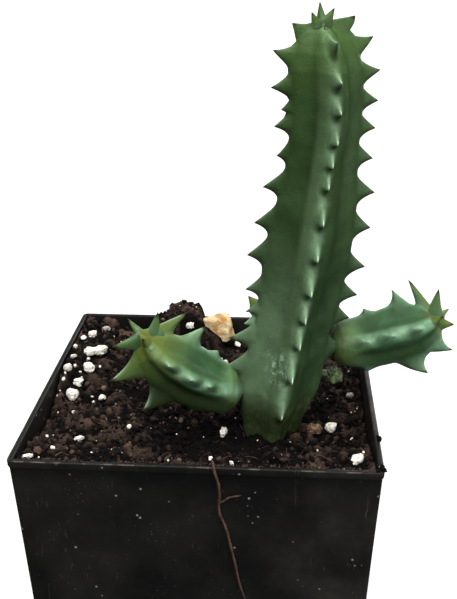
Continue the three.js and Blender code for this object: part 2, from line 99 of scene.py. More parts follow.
def waves(points, size, seed=0, octaves=1, roughness=0.5):
    """Soft noise from about -1 to 1 whose lumps are about size across."""
    total = np.zeros(len(points))
    strength = 1.0
    for octave in range(octaves):
        scaled = points / size * 2**octave
        cells = np.floor(scaled).astype(np.int64)
        part = scaled - cells
        part = part * part * (3 - 2 * part)
        value = np.zeros(len(points))
        for corner in itertools.product((0, 1), repeat=3):
            weight = np.where(corner, part, 1 - part).prod(1)
            value += weight * cell_value(cells + corner, seed + octave)
        total += strength * value
        strength *= roughness
    return total


# Meshes

def make_piece(name, points, faces, material, slot, nodes=(), fields=None, flat=False):
    """A mesh piece in its place, which stands for the nodes that are named."""
    mesh = bpy.data.meshes.new(name)
    mesh.from_pydata((np.asarray(points) * MM).tolist(), [], faces)
    for key, values in (fields or {}).items():
        attribute = mesh.attributes.new(key, "FLOAT", "POINT")
        attribute.data.foreach_set("value", np.asarray(values, np.float32))
    if not flat:
        mesh.shade_smooth()
    mesh.materials.append(material)
    piece = bpy.data.objects.new(name, mesh)
    bpy.context.scene.collection.objects.link(piece)
    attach(piece, "root")
    if nodes:
        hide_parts(*nodes)
    return piece


def tube(rings):
    """Points and faces of a closed tube from an array of rings, with a middle at each end."""
    points = np.vstack([rings.reshape(-1, 3), rings[0].mean(0), rings[-1].mean(0)])
    rows, columns = rings.shape[:2]
    ring = np.arange(columns)
    first = np.arange(rows - 1)[:, None] * columns + ring
    second = np.arange(rows - 1)[:, None] * columns + (ring + 1) % columns
    quads = np.stack([first, second, second + columns, first + columns], -1).reshape(-1, 4)
    faces = quads.tolist()
    low, high = rows * columns, rows * columns + 1
    last = (rows - 1) * columns
    for i in range(columns):
        j = (i + 1) % columns
        faces += [[low, j, i], [high, last + i, last + j]]
    return points, faces


def merged(parts):
    """Points and faces of many parts as one."""
    points = []
    faces = []
    start = 0
    for part_points, part_faces in parts:
        points.append(part_points)
        faces += [[v + start for v in face] for face in part_faces]
        start += len(part_points)
    return np.vstack(points), faces


def sphere(level):
    """Points and faces of a round ball of radius 1, finer with each level."""
    ball = bmesh.new()
    bmesh.ops.create_icosphere(ball, subdivisions=level, radius=1)
    points = np.array([v.co[:] for v in ball.verts])
    faces = [[v.index for v in face.verts] for face in ball.faces]
    ball.free()
    return points, faces


# Materials

def colour(red, green, blue):
    """A linear colour from screen values of 0 to 255."""
    linear = []
    for value in (red, green, blue):
        share = value / 255
        linear.append(share / 12.92 if share <= 0.04045 else ((share + 0.055) / 1.055) ** 2.4)
    return (*linear, 1)


def set_inputs(tree, node, inputs):
    """Set a node's inputs, each to a value or to another node's output."""
    for key, value in inputs.items():
        if isinstance(value, bpy.types.NodeSocket):
            tree.links.new(value, node.inputs[key])
        else:
            node.inputs[key].default_value = value


def add_node(tree, kind, inputs=None, **settings):
    node = tree.nodes.new(kind)
    for key, value in settings.items():
        setattr(node, key, value)
    set_inputs(tree, node, inputs or {})
    return node


class Look:
    """A node material, with its patterns sized in millimetres."""

    def __init__(self, name, base, roughness, specular):
        self.material = bpy.data.materials.new(name)
        self.material.use_nodes = True
        self.tree = self.material.node_tree
        self.tree.nodes.clear()
        self.base = base
        self.normal = None
        self.shader = self.add("ShaderNodeBsdfPrincipled",
                               {"Roughness": roughness, "Specular IOR Level": specular})
        self.add("ShaderNodeOutputMaterial", {0: self.shader.outputs[0]})
        own = self.add("ShaderNodeTexCoord").outputs["Object"]
        self.place = self.add("ShaderNodeVectorMath", {0: own, "Scale": 1 / MM},
                              operation="SCALE").outputs[0]

    def add(self, kind, inputs=None, **settings):
        return add_node(self.tree, kind, inputs, **settings)

    def field(self, name):
        return self.add("ShaderNodeAttribute", attribute_name=name).outputs["Fac"]

    def noise(self, size, detail=3, roughness=0.55, distortion=0, stretch=(1, 1, 1)):
        place = self.add("ShaderNodeVectorMath", {0: self.place, 1: stretch},
                         operation="MULTIPLY").outputs[0]
        return self.add("ShaderNodeTexNoise", {
            "Vector": place, "Scale": 1 / size, "Detail": detail, "Roughness": roughness,
            "Distortion": distortion,
        }).outputs["Fac"]

    def cells(self, size):
        inputs = {"Vector": self.place, "Scale": 1 / size}
        return self.add("ShaderNodeTexVoronoi", inputs).outputs["Distance"]

    def ramp(self, value, low, high, to_low=0.0, to_high=1.0):
        return self.add("ShaderNodeMapRange", {
            "Value": value, "From Min": low, "From Max": high, "To Min": to_low,
            "To Max": to_high,
        }, interpolation_type="SMOOTHSTEP").outputs["Result"]

    def patches(self, size, low, high, to_low=0.0, to_high=1.0, **pattern):
        return self.ramp(self.noise(size, **pattern), low, high, to_low, to_high)

    def spots(self, size, core, edge, strength=1.0):
        return self.ramp(self.cells(size), core, edge, strength, 0)

    def times(self, *shares):
        """All the shares multiplied, each a number, an output or the name of a field."""
        shares = [self.field(share) if isinstance(share, str) else share for share in shares]
        product = shares[0]
        for share in shares[1:]:
            inputs = {0: product, 1: share}
            product = self.add("ShaderNodeMath", inputs, operation="MULTIPLY").outputs[0]
        return product

    def mix(self, share, a, b):
        inputs = {0: share, 6: a, 7: b}
        return self.add("ShaderNodeMix", inputs, data_type="RGBA").outputs[2]

    def coat(self, tint, *shares):
        """Lay a colour over what is there, by the product of the shares."""
        self.base = self.mix(self.times(*shares), self.base, tint)

    def relief(self, height, depth):
        """Raise the surface by a pattern that is depth high."""
        inputs = {"Strength": 1, "Distance": depth * MM, "Height": height}
        if self.normal is not None:
            inputs["Normal"] = self.normal
        self.normal = self.add("ShaderNodeBump", inputs).outputs[0]

    def finish(self, inputs=None):
        set_inputs(self.tree, self.shader, {"Base Color": self.base, **(inputs or {})})
        if self.normal is not None:
            set_inputs(self.tree, self.shader, {"Normal": self.normal})
        return self.material


def stem_look(name, face, deep, ridge, young, low, keel, bloom):
    """Leathery green skin with paler ridges that are part wax and part painted highlight, painted
    shade under the teeth and the branches, and teeth that are dark at the tip.
    """
    look = Look(name, deep, 0.5, 0.1)
    look.coat(face, look.patches(7, 0.35, 0.68, distortion=0.4))
    # Waxy bloom, which on the main stem is kept to its lit left side: in part a painted highlight
    look.coat(bloom, "bloom", look.patches(5, 0.3, 0.6, 0.6, detail=4))
    # A pale band along the ridges: part waxy skin, part painted highlight, strongest on the front
    # rib
    look.coat(ridge, "ridge", look.patches(4.5, 0.3, 0.6, 0.6, detail=4))
    # A narrow bright line along each crest is a painted highlight; the young leaves are paler down
    # their middles
    look.coat(keel, "wax", look.patches(1.8, 0.34, 0.62, 0.2, 0.85, detail=4,
                                        stretch=(1, 1, 0.35)))
    look.coat(young, "young")
    # Painted shade on the undersides of the branches
    look.coat(colour(27, 36, 17), "below")
    # Painted shade in the hollow under each tooth
    look.coat(colour(24, 36, 16), "under")
    # A painted highlight on the upper flank of each tooth
    on_keel_highlight = look.field("keel")
    look.coat(keel, look.ramp(on_keel_highlight, 0, 0.8))
    # The foot is corky
    corky = look.noise(1.9, detail=5, roughness=0.65, stretch=(1, 1, 0.6))
    bark = look.mix(look.ramp(corky, 0.44, 0.66), low, colour(46, 58, 28))
    look.coat(bark, "low", look.ramp(corky, 0.3, 0.6, 0.7, 1))
    look.coat(colour(136, 158, 138), "scuff",
              look.patches(1.7, 0.46, 0.68, detail=5, roughness=0.7))
    look.coat(deep, look.spots(1.5, 0, 0.12, 0.35))
    look.coat(colour(72, 58, 28), "furrow")
    look.coat(colour(34, 28, 16), look.ramp(look.field("tip"), 0.72, 0.9))
    # The painted highlight turns almost white towards each tooth's tip
    look.coat(colour(168, 182, 160), look.ramp(on_keel_highlight, 0.8, 0.97, 0, 0.85))
    look.relief(look.noise(3.4), 0.2)
    look.relief(look.noise(0.35), 0.05)
    look.relief(look.ramp(look.cells(0.55), 0.05, 0.5), 0.02)
    look.relief(look.times(corky, "low"), 0.3)
    return look.finish({
        "Roughness": look.patches(3.2, 0.3, 0.7, 0.4, 0.6, detail=4),
        "Subsurface Weight": 0.06,
        "Subsurface Radius": (0.4, 0.9, 0.3),
        "Subsurface Scale": 0.0015,
    })


def plastic_look():
    """Black moulded plastic, dusted and scratched."""
    look = Look("pot_plastic", colour(9, 9, 9), 0.4, 0.06)
    look.coat(colour(17, 17, 16), look.patches(14, 0.35, 0.7, detail=4))
    # Dust as coarse and as fine grains, then scratches, a paler tone that grows towards the right
    # and the worn edge
    look.coat(colour(150, 147, 138), look.spots(2.6, 0, 0.13),
              look.patches(6, 0.46, 0.6, detail=2), 0.8)
    look.coat(colour(92, 84, 74), look.spots(1.1, 0, 0.15), look.patches(9, 0.5, 0.64), 0.6)
    look.coat(colour(62, 61, 58),
              look.patches(1.1, 0.66, 0.7, detail=2, distortion=1.5, stretch=(1.6, 1.6, 0.12)),
              look.patches(11, 0.48, 0.62, 0, 0.4))
    look.coat(colour(52, 50, 46), look.ramp(look.field("paler_to_right"), 0, 1, 1, 2.4),
              look.patches(18, 0.38, 0.75, 0.02, 0.16, detail=5, roughness=0.65))
    look.coat(colour(80, 75, 66), look.ramp(look.field("edge"), 0.6, 1, 0, 0.6),
              look.patches(3, 0.49, 0.62, detail=5))
    look.relief(look.noise(9, detail=2), 0.25)
    look.relief(look.noise(0.5), 0.03)
    return look.finish({"Roughness": look.patches(5, 0.3, 0.75, 0.3, 0.55, detail=5)})


def soil_look():
    """Dark potting mix, from black to reddish crumbs by the shade field, which holds painted shade
    in the hollows and under the branches as well as the soil's own tones.
    """
    look = Look("soil", colour(2, 1, 1), 0.95, 0.06)
    fine = look.noise(0.8, detail=6, roughness=0.75)
    shade = look.field("shade")
    look.coat(colour(9, 7, 6), look.ramp(fine, 0.36, 0.66))
    brown = look.mix(look.ramp(fine, 0.3, 0.62), colour(19, 14, 12), colour(57, 45, 38))
    look.coat(brown, look.ramp(shade, 0.08, 0.75))
    look.coat(colour(68, 52, 44), look.ramp(shade, 0.7, 1))
    look.coat(colour(58, 42, 32), look.spots(1.3, 0.02, 0.15), look.patches(2.3, 0.54, 0.64), 0.5)
    look.relief(fine, 0.5)
    return look.finish()


def grain_look(name, light, dark, pit=0.7):
    """A pitted mineral grain."""
    look = Look(name, dark, 0.9, 0.3)
    pits = look.cells(pit)
    # Painted shade: the grain is darker down in its pits
    look.coat(light, look.ramp(pits, 0.05, 0.45))
    look.coat(dark, look.patches(1.6, 0.55, 0.8, 0, 0.55, detail=5))
    look.relief(pits, 0.25)
    look.relief(look.noise(0.3, detail=4), 0.06)
    return look.finish()


def stone_look():
    """Tan stone with ochre stains and dark pits."""
    look = Look("tan_stone", colour(148, 120, 78), 0.88, 0.3)
    look.coat(colour(190, 172, 134), look.patches(2.6, 0.38, 0.64, detail=5))
    look.coat(colour(142, 98, 42), look.patches(3.4, 0.52, 0.68, detail=4, distortion=0.8))
    look.coat(colour(78, 48, 24), look.spots(1.5, 0.02, 0.22))
    look.relief(look.noise(0.9, detail=6, roughness=0.7), 0.5)
    return look.finish()


def wood_look(name, light, dark, stretch=(1, 1, 0.2)):
    """Fibrous wood or bark."""
    look = Look(name, dark, 0.85, 0.3)
    grain = look.noise(0.5, detail=5, roughness=0.65, stretch=stretch)
    look.coat(light, look.ramp(grain, 0.36, 0.66))
    look.relief(grain, 0.18)
    return look.finish()


def bud_look():
    """Dark scales with painted highlights down their middles, and brown flecks."""
    look = Look("side_bud", colour(22, 34, 14), 0.5, 0.4)
    look.coat(colour(50, 66, 30), look.patches(0.9, 0.35, 0.68, detail=4))
    look.coat(colour(96, 112, 68), look.ramp(look.field("scale_highlight"), 0.1, 0.9, 0, 0.5))
    look.coat(colour(58, 48, 28), look.patches(0.5, 0.6, 0.74, detail=4))
    look.relief(look.noise(0.5, detail=4), 0.12)
    return look.finish()


# Pot

POT_WIDTH = 70.0
DRAFT = math.radians(2.62)
WALL = 0.9
FLOOR = 1.4
CORNER_RADIUS = 1.2
LIP_HEIGHT = 1.6
LIP_PROUD = 0.2
FOOT_BEVEL = 0.8
DRAIN_RADIUS = 3.0
DRAIN_OFFSET = 17.0
CORNER_STEPS = 10
SIDE_STEPS = 28
EDGE_ROUND = 0.25
WALL_SAG = 0.09
MERGE = 0.02


def half_width(z):
    return POT_WIDTH / 2 - LIP_PROUD - (RIM - z) * math.tan(DRAFT)


def rounded_square(half, radius, z):
    """Points round a square with rounded corners, with points along its sides as well."""
    arcs = []
    for corner in range(4):
        angles = (corner + np.arange(CORNER_STEPS + 1) / CORNER_STEPS) * math.pi / 2
        sign_x = 1 if corner in (0, 3) else -1
        sign_y = 1 if corner < 2 else -1
        arcs.append(np.column_stack([
            sign_x * (half - radius) + radius * np.cos(angles),
            sign_y * (half - radius) + radius * np.sin(angles),
            np.full(len(angles), z),
        ]))
    ring = []
    steps = np.arange(1, SIDE_STEPS)[:, None] / SIDE_STEPS
    for arc, following in zip(arcs, arcs[1:] + arcs[:1]):
        ring += [arc, arc[-1] + (following[0] - arc[-1]) * steps]
    return np.vstack(ring)


def make_pot(material):
    lip_foot = RIM - LIP_HEIGHT
    # The section up the outside and down the inside, as (out from the wall, height, wear)
    section = [(-FOOT_BEVEL, 0.0, 0.0), (-0.25, 0.25, 0.2)]
    section += [(0.0, z, 0.0) for z in np.linspace(FOOT_BEVEL, lip_foot, 22)]
    section += [
        (0.06, lip_foot + 0.04, 0.0),
        (LIP_PROUD - 0.05, lip_foot + LIP_PROUD - 0.08, 0.1),
        (LIP_PROUD, lip_foot + LIP_PROUD + 0.1, 0.1),
        (LIP_PROUD, RIM - EDGE_ROUND, 0.4),
        (LIP_PROUD - 0.07, RIM - 0.07, 1.0),
        (LIP_PROUD - EDGE_ROUND, RIM, 0.8),
        (-WALL + EDGE_ROUND, RIM, 0.2),
        (-WALL + 0.07, RIM - 0.07, 0.4),
    ]
    section += [(-WALL, z, 0.0) for z in np.linspace(RIM - EDGE_ROUND, FLOOR, 20)]
    rings = np.array([
        rounded_square(half_width(z) + proud, CORNER_RADIUS + min(proud, 0), z)
        for proud, z, _ in section])
    # The thin wall bulges a little above its stiff foot
    outward = rings[..., :2] / np.linalg.norm(rings[..., :2], axis=-1, keepdims=True)
    sag = waves(rings.reshape(-1, 3), 26, seed=4, octaves=2).reshape(rings.shape[:2])
    rings[..., :2] += outward * (WALL_SAG * sag * smooth(rings[..., 2] / 8))[..., None]
    points, faces = tube(rings)
    worn = np.append(np.repeat([wear for _, _, wear in section], rings.shape[1]), [0, 0])
    # The plastic grows paler towards the right
    paler_to_right = smooth((points[:, 0] - 2) / 26)
    pot = make_piece("pot_shell", points, faces, material, "pot_plastic", ["pot"],
                     {"edge": worn, "paler_to_right": paler_to_right})
    for x in (-DRAIN_OFFSET, DRAIN_OFFSET):
        for y in (-DRAIN_OFFSET, DRAIN_OFFSET):
            cut_hole(pot, x, y)


def cut_hole(piece, x, y):
    bpy.ops.mesh.primitive_cylinder_add(
        vertices=48, radius=DRAIN_RADIUS * MM, depth=4 * FLOOR * MM,
        location=(x * MM, y * MM, FLOOR / 2 * MM))
    drill = bpy.context.object
    cut = piece.modifiers.new("drain", "BOOLEAN")
    cut.operation = "DIFFERENCE"
    cut.solver = "EXACT"
    cut.object = drill
    bpy.context.view_layer.objects.active = piece
    bpy.ops.object.modifier_apply(modifier=cut.name)
    bpy.data.objects.remove(drill)
    # Points that nearly meet at the hole's edge become one
    mesh = bmesh.new()
    mesh.from_mesh(piece.data)
    bmesh.ops.remove_doubles(mesh, verts=mesh.verts, dist=MERGE * MM)
    bmesh.ops.dissolve_degenerate(mesh, edges=mesh.edges, dist=MERGE * MM)
    mesh.to_mesh(piece.data)
    mesh.free()


# Soil

SOIL_BACK = -5.0
SOIL_FRONT = -0.9
FRONT_SLOPE = (-16.0, -30.0)
SOIL_CORNER_RISE = 3.4
CRUMB_HEIGHT = 0.45
CLUMP_X, CLUMP_Y, CLUMP_RADIUS, CLUMP_HEIGHT = -8.1, 26.8, 6.2, 10.1
CLUMP_BROAD, CLUMP_TOP = 1.62, 0.69
CLUMP_STEP_X, CLUMP_STEP_WIDE, CLUMP_LOWER = -11.6, 1.8, 0.2
SOIL_GAP = 0.3
SOIL_LINE = RIM - 4.0
SOIL_CELLS = 210
SOIL_EDGE = 32.6
TINY = 1e-9
CLOD_HEIGHT, LUMP_HEIGHT, FINE_CRUMB_HEIGHT = 1.15, 0.75, 0.36
CLOD_SINK = 0.85
# A bank lies against the left wall, and stays just under the rim
LEFT_BANK = 1.6
BANK_TOP = -0.15
# Painted shadow on the soil on both sides of the stem's foot, under the left branch and by the
# right one, as (x, y, half length, half width)
SOIL_SHADOWS = ((1, -20, 18, 11), (24, -3, 6, 6))
ROCK_NODES = (["tan_stone", "bark_chip"] + [f"perlite_{i}" for i in range(1, 13)]
              + ["grit_1", "grit_2"])
ROCK_BOXES = [node_box(node) for node in ROCK_NODES]
# In front of the stone the soil stays below this sloping line
STONE_FRONT = {"from_x": -4.4, "to_x": 4.5, "from_y": 18.0, "top": 2.2, "slope": 0.8}


def on_clump(x, y):
    far = np.hypot((x - CLUMP_X) / CLUMP_BROAD, y - CLUMP_Y) / CLUMP_RADIUS
    return 1 - smooth((far - CLUMP_TOP) / (1 - CLUMP_TOP))


def near_rocks(x, y, margin):
    """One at the middle of a loose rock, falling to nothing past its edge."""
    near = np.zeros(len(x))
    for centre, half in ROCK_BOXES:
        far = np.hypot((x - centre[0]) / (half[0] + margin), (y - centre[1]) / (half[1] + margin))
        near = np.maximum(near, 1 - smooth((far - 0.7) / 0.6))
    return near


def soil_level(x, y):
    """The soil's height over the rim, before its fine crumbs."""
    front = smooth((y - FRONT_SLOPE[0]) / (FRONT_SLOPE[1] - FRONT_SLOPE[0]))
    corner = smooth((-16 - x) / 12) * smooth((y + 6) / 16)
    ground = SOIL_BACK + (SOIL_FRONT - SOIL_BACK) * front + SOIL_CORNER_RISE * corner
    broad = np.sin(0.83 * x + 1.3 * np.sin(0.37 * y)) * np.cos(0.71 * y + 0.9)
    fine = np.sin(1.37 * x - 0.61 * y + 2) * np.sin(0.52 * x + 1.19 * y)
    step = 1 - CLUMP_LOWER * smooth((CLUMP_STEP_X - x) / CLUMP_STEP_WIDE)
    clump = CLUMP_HEIGHT * step * on_clump(x, y)
    return ground + CRUMB_HEIGHT * (broad + 0.8 * fine) + clump


def soil_top(x, y):
    """The soil's height over the rim with its crumbs."""
    height = soil_level(x, y) + soil_relief(x, y)
    beside = smooth((x - STONE_FRONT["from_x"]) / 1.2) * (x < STONE_FRONT["to_x"])
    line = STONE_FRONT["top"] - STONE_FRONT["slope"] * (x - STONE_FRONT["from_x"])
    over = np.maximum(height - line, 0) * beside * (y > STONE_FRONT["from_y"])
    bank = smooth((-29 - x) / 3) * smooth((y + 10) / 9) * (1 - near_rocks(x, y, 0.6))
    height = height - over + LEFT_BANK * bank
    return np.where(x < -30.5, np.minimum(height, BANK_TOP), height)


def on_soil(x, y, lift):
    """Places on the soil, raised by lift."""
    return np.column_stack([x, y, RIM + soil_top(x, y) + lift])


def painted_soil_shadow(x, y):
    """One where the soil lies in painted shadow."""
    far = [np.hypot((x - at_x) / long, (y - at_y) / wide) for at_x, at_y, long, wide in SOIL_SHADOWS]
    return 1 - smooth((np.minimum(*far) - 0.5) / 0.6)


def dryness(x, y):
    """The soil is dry and paler along the pot's walls and on the clump."""
    dry = (0.36 * smooth((-6 - x) / 10) + 0.42 * smooth((x - 17) / 5)
           + 0.16 * smooth((-27 - y) / 3) + 0.3 * smooth((y - 14) / 4)
           + 0.4 * on_clump(x, y))
    return np.clip(dry, 0, 0.6)


def soil_relief(x, y):
    """Clods with soft tops and sharp hollows between them, and crumbs on them."""
    places = np.column_stack([x, y, np.zeros(len(x))])
    clods = np.abs(waves(places, 5.5, seed=30, octaves=2))
    lumps = np.abs(waves(places, 2.4, seed=31, octaves=2))
    crumbs = waves(places, 0.9, seed=37, octaves=3, roughness=0.7)
    calm = (1 - 0.75 * on_clump(x, y)) * (1 - 0.5 * smooth((np.abs(x) - 28) / 3))
    relief = (calm * (CLOD_HEIGHT * clods + LUMP_HEIGHT * lumps - CLOD_SINK)
              + FINE_CRUMB_HEIGHT * crumbs)
    near = near_rocks(x, y, 0.9)
    return relief * (1 - near) - 0.35 * near


def make_soil(material):
    steps = np.linspace(-1, 1, SOIL_CELLS + 1)
    u, v = [a.ravel() for a in np.meshgrid(steps, steps)]
    half = half_width(SOIL_LINE) - WALL - SOIL_GAP
    # Squares of the grid are bent into squares with rounded corners
    reach = np.maximum(np.maximum(np.abs(u), np.abs(v)), TINY)
    corner = 1 - (CORNER_RADIUS - WALL) / half
    over = np.hypot(np.maximum(np.abs(u) / reach - corner, 0),
                    np.maximum(np.abs(v) / reach - corner, 0))
    outside = over > 1 - corner
    pull = np.where(outside, (1 - corner) / np.maximum(over, TINY), 1)
    inset = np.where(outside, corner + (1 - corner) * pull, 1)
    x, y = u * half * inset, v * half * inset
    z = RIM + soil_top(x, y)
    narrow = np.minimum((half_width(z) - WALL - SOIL_GAP) / half, 1.0)
    x, y = x * narrow, y * narrow
    top = np.column_stack([x, y, z])
    width = SOIL_CELLS + 1
    first = (np.arange(SOIL_CELLS)[:, None] * width + np.arange(SOIL_CELLS)[None, :]).ravel()
    faces = np.stack([first, first + 1, first + width + 1, first + width], -1).tolist()
    # The block under it: one ring at the floor, joined to the grid's border
    forth = range(SOIL_CELLS)
    back = range(SOIL_CELLS, 0, -1)
    border = (list(forth) + [i * width + SOIL_CELLS for i in forth]
              + [SOIL_CELLS * width + i for i in back] + [i * width for i in back])
    shrink = (half_width(FLOOR) - WALL - SOIL_GAP) / half
    foot = top[border] * (shrink, shrink, 0) + (0, 0, FLOOR + SOIL_GAP)
    points = np.vstack([top, foot, [[0, 0, FLOOR + SOIL_GAP]]])
    count = len(border)
    start = len(top)
    for i in range(count):
        j = (i + 1) % count
        faces.append([border[j], border[i], start + i, start + j])
        faces.append([start + j, start + i, start + count])
    browner = np.clip(0.5 + 0.5 * waves(top * (1, 1, 0), 9, seed=41, octaves=2), 0, 1)
    shade = np.zeros(len(points))
    # The bed's colour: painted shade in the hollows between clods and in the painted shadow by the
    # stem's foot, paler where it is dry
    shade[:start] = (smooth((soil_relief(x, y) + 0.7) / 1.6)
                     * (0.25 + dryness(x, y) + 0.35 * browner) * (1 - 0.75 * painted_soil_shadow(x, y)))
    make_piece("soil_bed", points, faces, material, "soil", ["soil"], {"shade": shade})


# Stems

FACE_DEPTH = 0.3
FACE_CURVE = 2.4
TOOTH_WIDTH = 2.3
HOOK = 1.8
UPPER_FLANK = 1.75
LOWER_FLANK = 2.0
BLADE_SIDE = 2.0
YOUNG_GIRTH = 0.4
YOUNG_ROOT = 0.5
YOUNG_DIP = 0.5
COLUMN_CROWDING = 1.35
DRAW_IN = 1.5
BLADE_WIDTH = 1.9
SWELL, FINE_SWELL = 0.16, 0.03
LEAF_ROWS = 18
LEAF_COLUMNS = 14
LEAF_SHOULDER = 1.4
LEAF_ROOT = -0.9
LEAF_POINT = 0.06


class Line:
    """A centripetal spline through points, measured by its own length."""

    def __init__(self, points):
        self.dense = self.spline(np.array(points, float))
        lengths = np.linalg.norm(np.diff(self.dense, axis=0), axis=1)
        self.measured = np.concatenate([[0], np.cumsum(lengths)])
        self.length = self.measured[-1]

    @staticmethod
    def spline(points):
        padded = np.vstack([2 * points[0] - points[1], points, 2 * points[-1] - points[-2]])
        out = []
        for i in range(len(points) - 1):
            p0, p1, p2, p3 = padded[i:i + 4]
            d0, d1, d2 = (np.linalg.norm(b - a) ** 0.5 for a, b in ((p0, p1), (p1, p2), (p2, p3)))
            m1 = ((p1 - p0) / d0 - (p2 - p0) / (d0 + d1) + (p2 - p1) / d1) * d1
            m2 = ((p2 - p1) / d1 - (p3 - p1) / (d1 + d2) + (p3 - p2) / d2) * d1
            t = np.linspace(0, 1, 80, endpoint=i == len(points) - 2)[:, None]
            out.append((2 * t**3 - 3 * t**2 + 1) * p1 + (t**3 - 2 * t**2 + t) * m1
                       + (3 * t**2 - 2 * t**3) * p2 + (t**3 - t**2) * m2)
        return np.vstack(out)

    def place(self, distance):
        return np.column_stack([np.interp(distance, self.measured, self.dense[:, k])
                                for k in range(3)])


class Axis(Line):
    """A stem's middle line, with its own forward direction. Heights are over the rim."""

    def __init__(self, points, reference, upright=False):
        super().__init__(np.array(points, float) + (0, 0, RIM))
        self.reference = np.array(reference, float)
        self.upright = upright

    def at(self, distance):
        """Place, tangent and forward direction at each distance."""
        inside = np.clip(distance, 0, self.length)
        step = 0.25
        tangent = (self.place(np.minimum(inside + step, self.length))
                   - self.place(np.maximum(inside - step, 0)))
        tangent /= np.linalg.norm(tangent, axis=1, keepdims=True)
        place = self.place(inside) + tangent * (distance - inside)[:, None]
        if self.upright:
            tangent = np.tile([0.0, 0.0, 1.0], (len(distance), 1))
        forward = self.reference - tangent * (tangent @ self.reference)[:, None]
        forward /= np.linalg.norm(forward, axis=1, keepdims=True)
        return place, tangent, forward


def round_stem(stem, distance, azimuth):
    """Place on the axis, tangent and outward direction at each distance and angle."""
    place, tangent, forward = stem["axis"].at(distance)
    angle = (azimuth + stem["turn"](distance))[:, None]
    side = np.cross(tangent, forward)
    return place, tangent, forward * np.cos(angle) + side * np.sin(angle)


def wrapped(angle, half):
    """The angle as it lies between -half and half."""
    return (angle + half) % (2 * half) - half


def tooth_foot(stem, tooth, sunk=1.0):
    """How far along and out a tooth's foot is, and how full the stem is there."""
    base_at = min(tooth["at"] - tooth["lean"], stem["axis"].length - YOUNG_ROOT)
    dip = float(along_line(stem["crest"], base_at)) * sunk
    thickest = max(radius for _, radius in stem["crest"])
    return base_at, dip, max(dip / thickest, YOUNG_GIRTH)


def stem_grid(length, rows_per_mm, columns_per_rib):
    """Distance and angle of each point of the skin, with points crowded at the ribs."""
    rows = int(round(length * rows_per_mm)) + 1
    t = np.arange(columns_per_rib) / columns_per_rib * 2 - 1
    local = HALF_RIB * np.sign(t) * np.abs(t) ** COLUMN_CROWDING
    around = (np.arange(RIBS)[:, None] * 2 * HALF_RIB + local[None, :]).ravel()
    distance, azimuth = np.meshgrid(np.linspace(0, length, rows), around, indexing="ij")
    return rows, len(around), distance.ravel(), azimuth.ravel()


def own_teeth(stem, distance, azimuth, crest):
    """Which points are in a tooth's foot, with that tooth and their place in its foot."""
    best = np.tile([1.0, -1, 0, 0], (len(distance), 1))
    grown = []
    for index, tooth in enumerate(t for t in stem["teeth"] if not t.get("young")):
        base_at, dip, girth = tooth_foot(stem, tooth)
        grown.append((base_at, dip, tooth["at"], tooth["reach"], tooth["rib"]))
        angle = wrapped(azimuth - tooth["rib"] * 2 * HALF_RIB, math.pi)
        along = (distance - base_at) / tooth["foot"]
        across = angle * crest / (BLADE_WIDTH * girth)
        share = np.hypot(along, across)
        closer = share < best[:, 0]
        found = np.column_stack([share, np.full(len(share), index), along, across])
        best[closer] = found[closer]
    mine = best[:, 1] >= 0
    share, owner, along, across = best[mine].T
    return mine, np.array(grown)[owner.astype(int)].T, np.maximum(share, 1e-6), along, across


def drawn_teeth(stem, body, teeth, share, along):
    """Points of the skin drawn out to hooked teeth, and how far up its tooth each one is."""
    base_at, dip, tip_at, reach, rib = teeth
    drawn = share**DRAW_IN
    # The upper flank is nearly straight, the lower one hollow, and the sides draw in to a blade
    up = along / share
    flank = (np.maximum(up, 0) ** 2 * UPPER_FLANK + np.maximum(-up, 0) ** 2 * LOWER_FLANK
             + (1 - np.minimum(up**2, 1)) * BLADE_SIDE)
    rise = (1 - drawn**1.1) ** flank
    hooked = base_at + (tip_at - base_at) * rise**HOOK
    place, _, outward = round_stem(stem, hooked, rib * 2 * HALF_RIB)
    centre = place + outward * (dip + (reach - dip) * rise)[:, None]
    place, _, outward = round_stem(stem, base_at, rib * 2 * HALF_RIB)
    foot = place + outward * dip[:, None]
    return centre + (body - foot) * (drawn / share)[:, None], rise


def spread(mine, values):
    full = np.zeros(len(mine))
    full[mine] = values
    return full


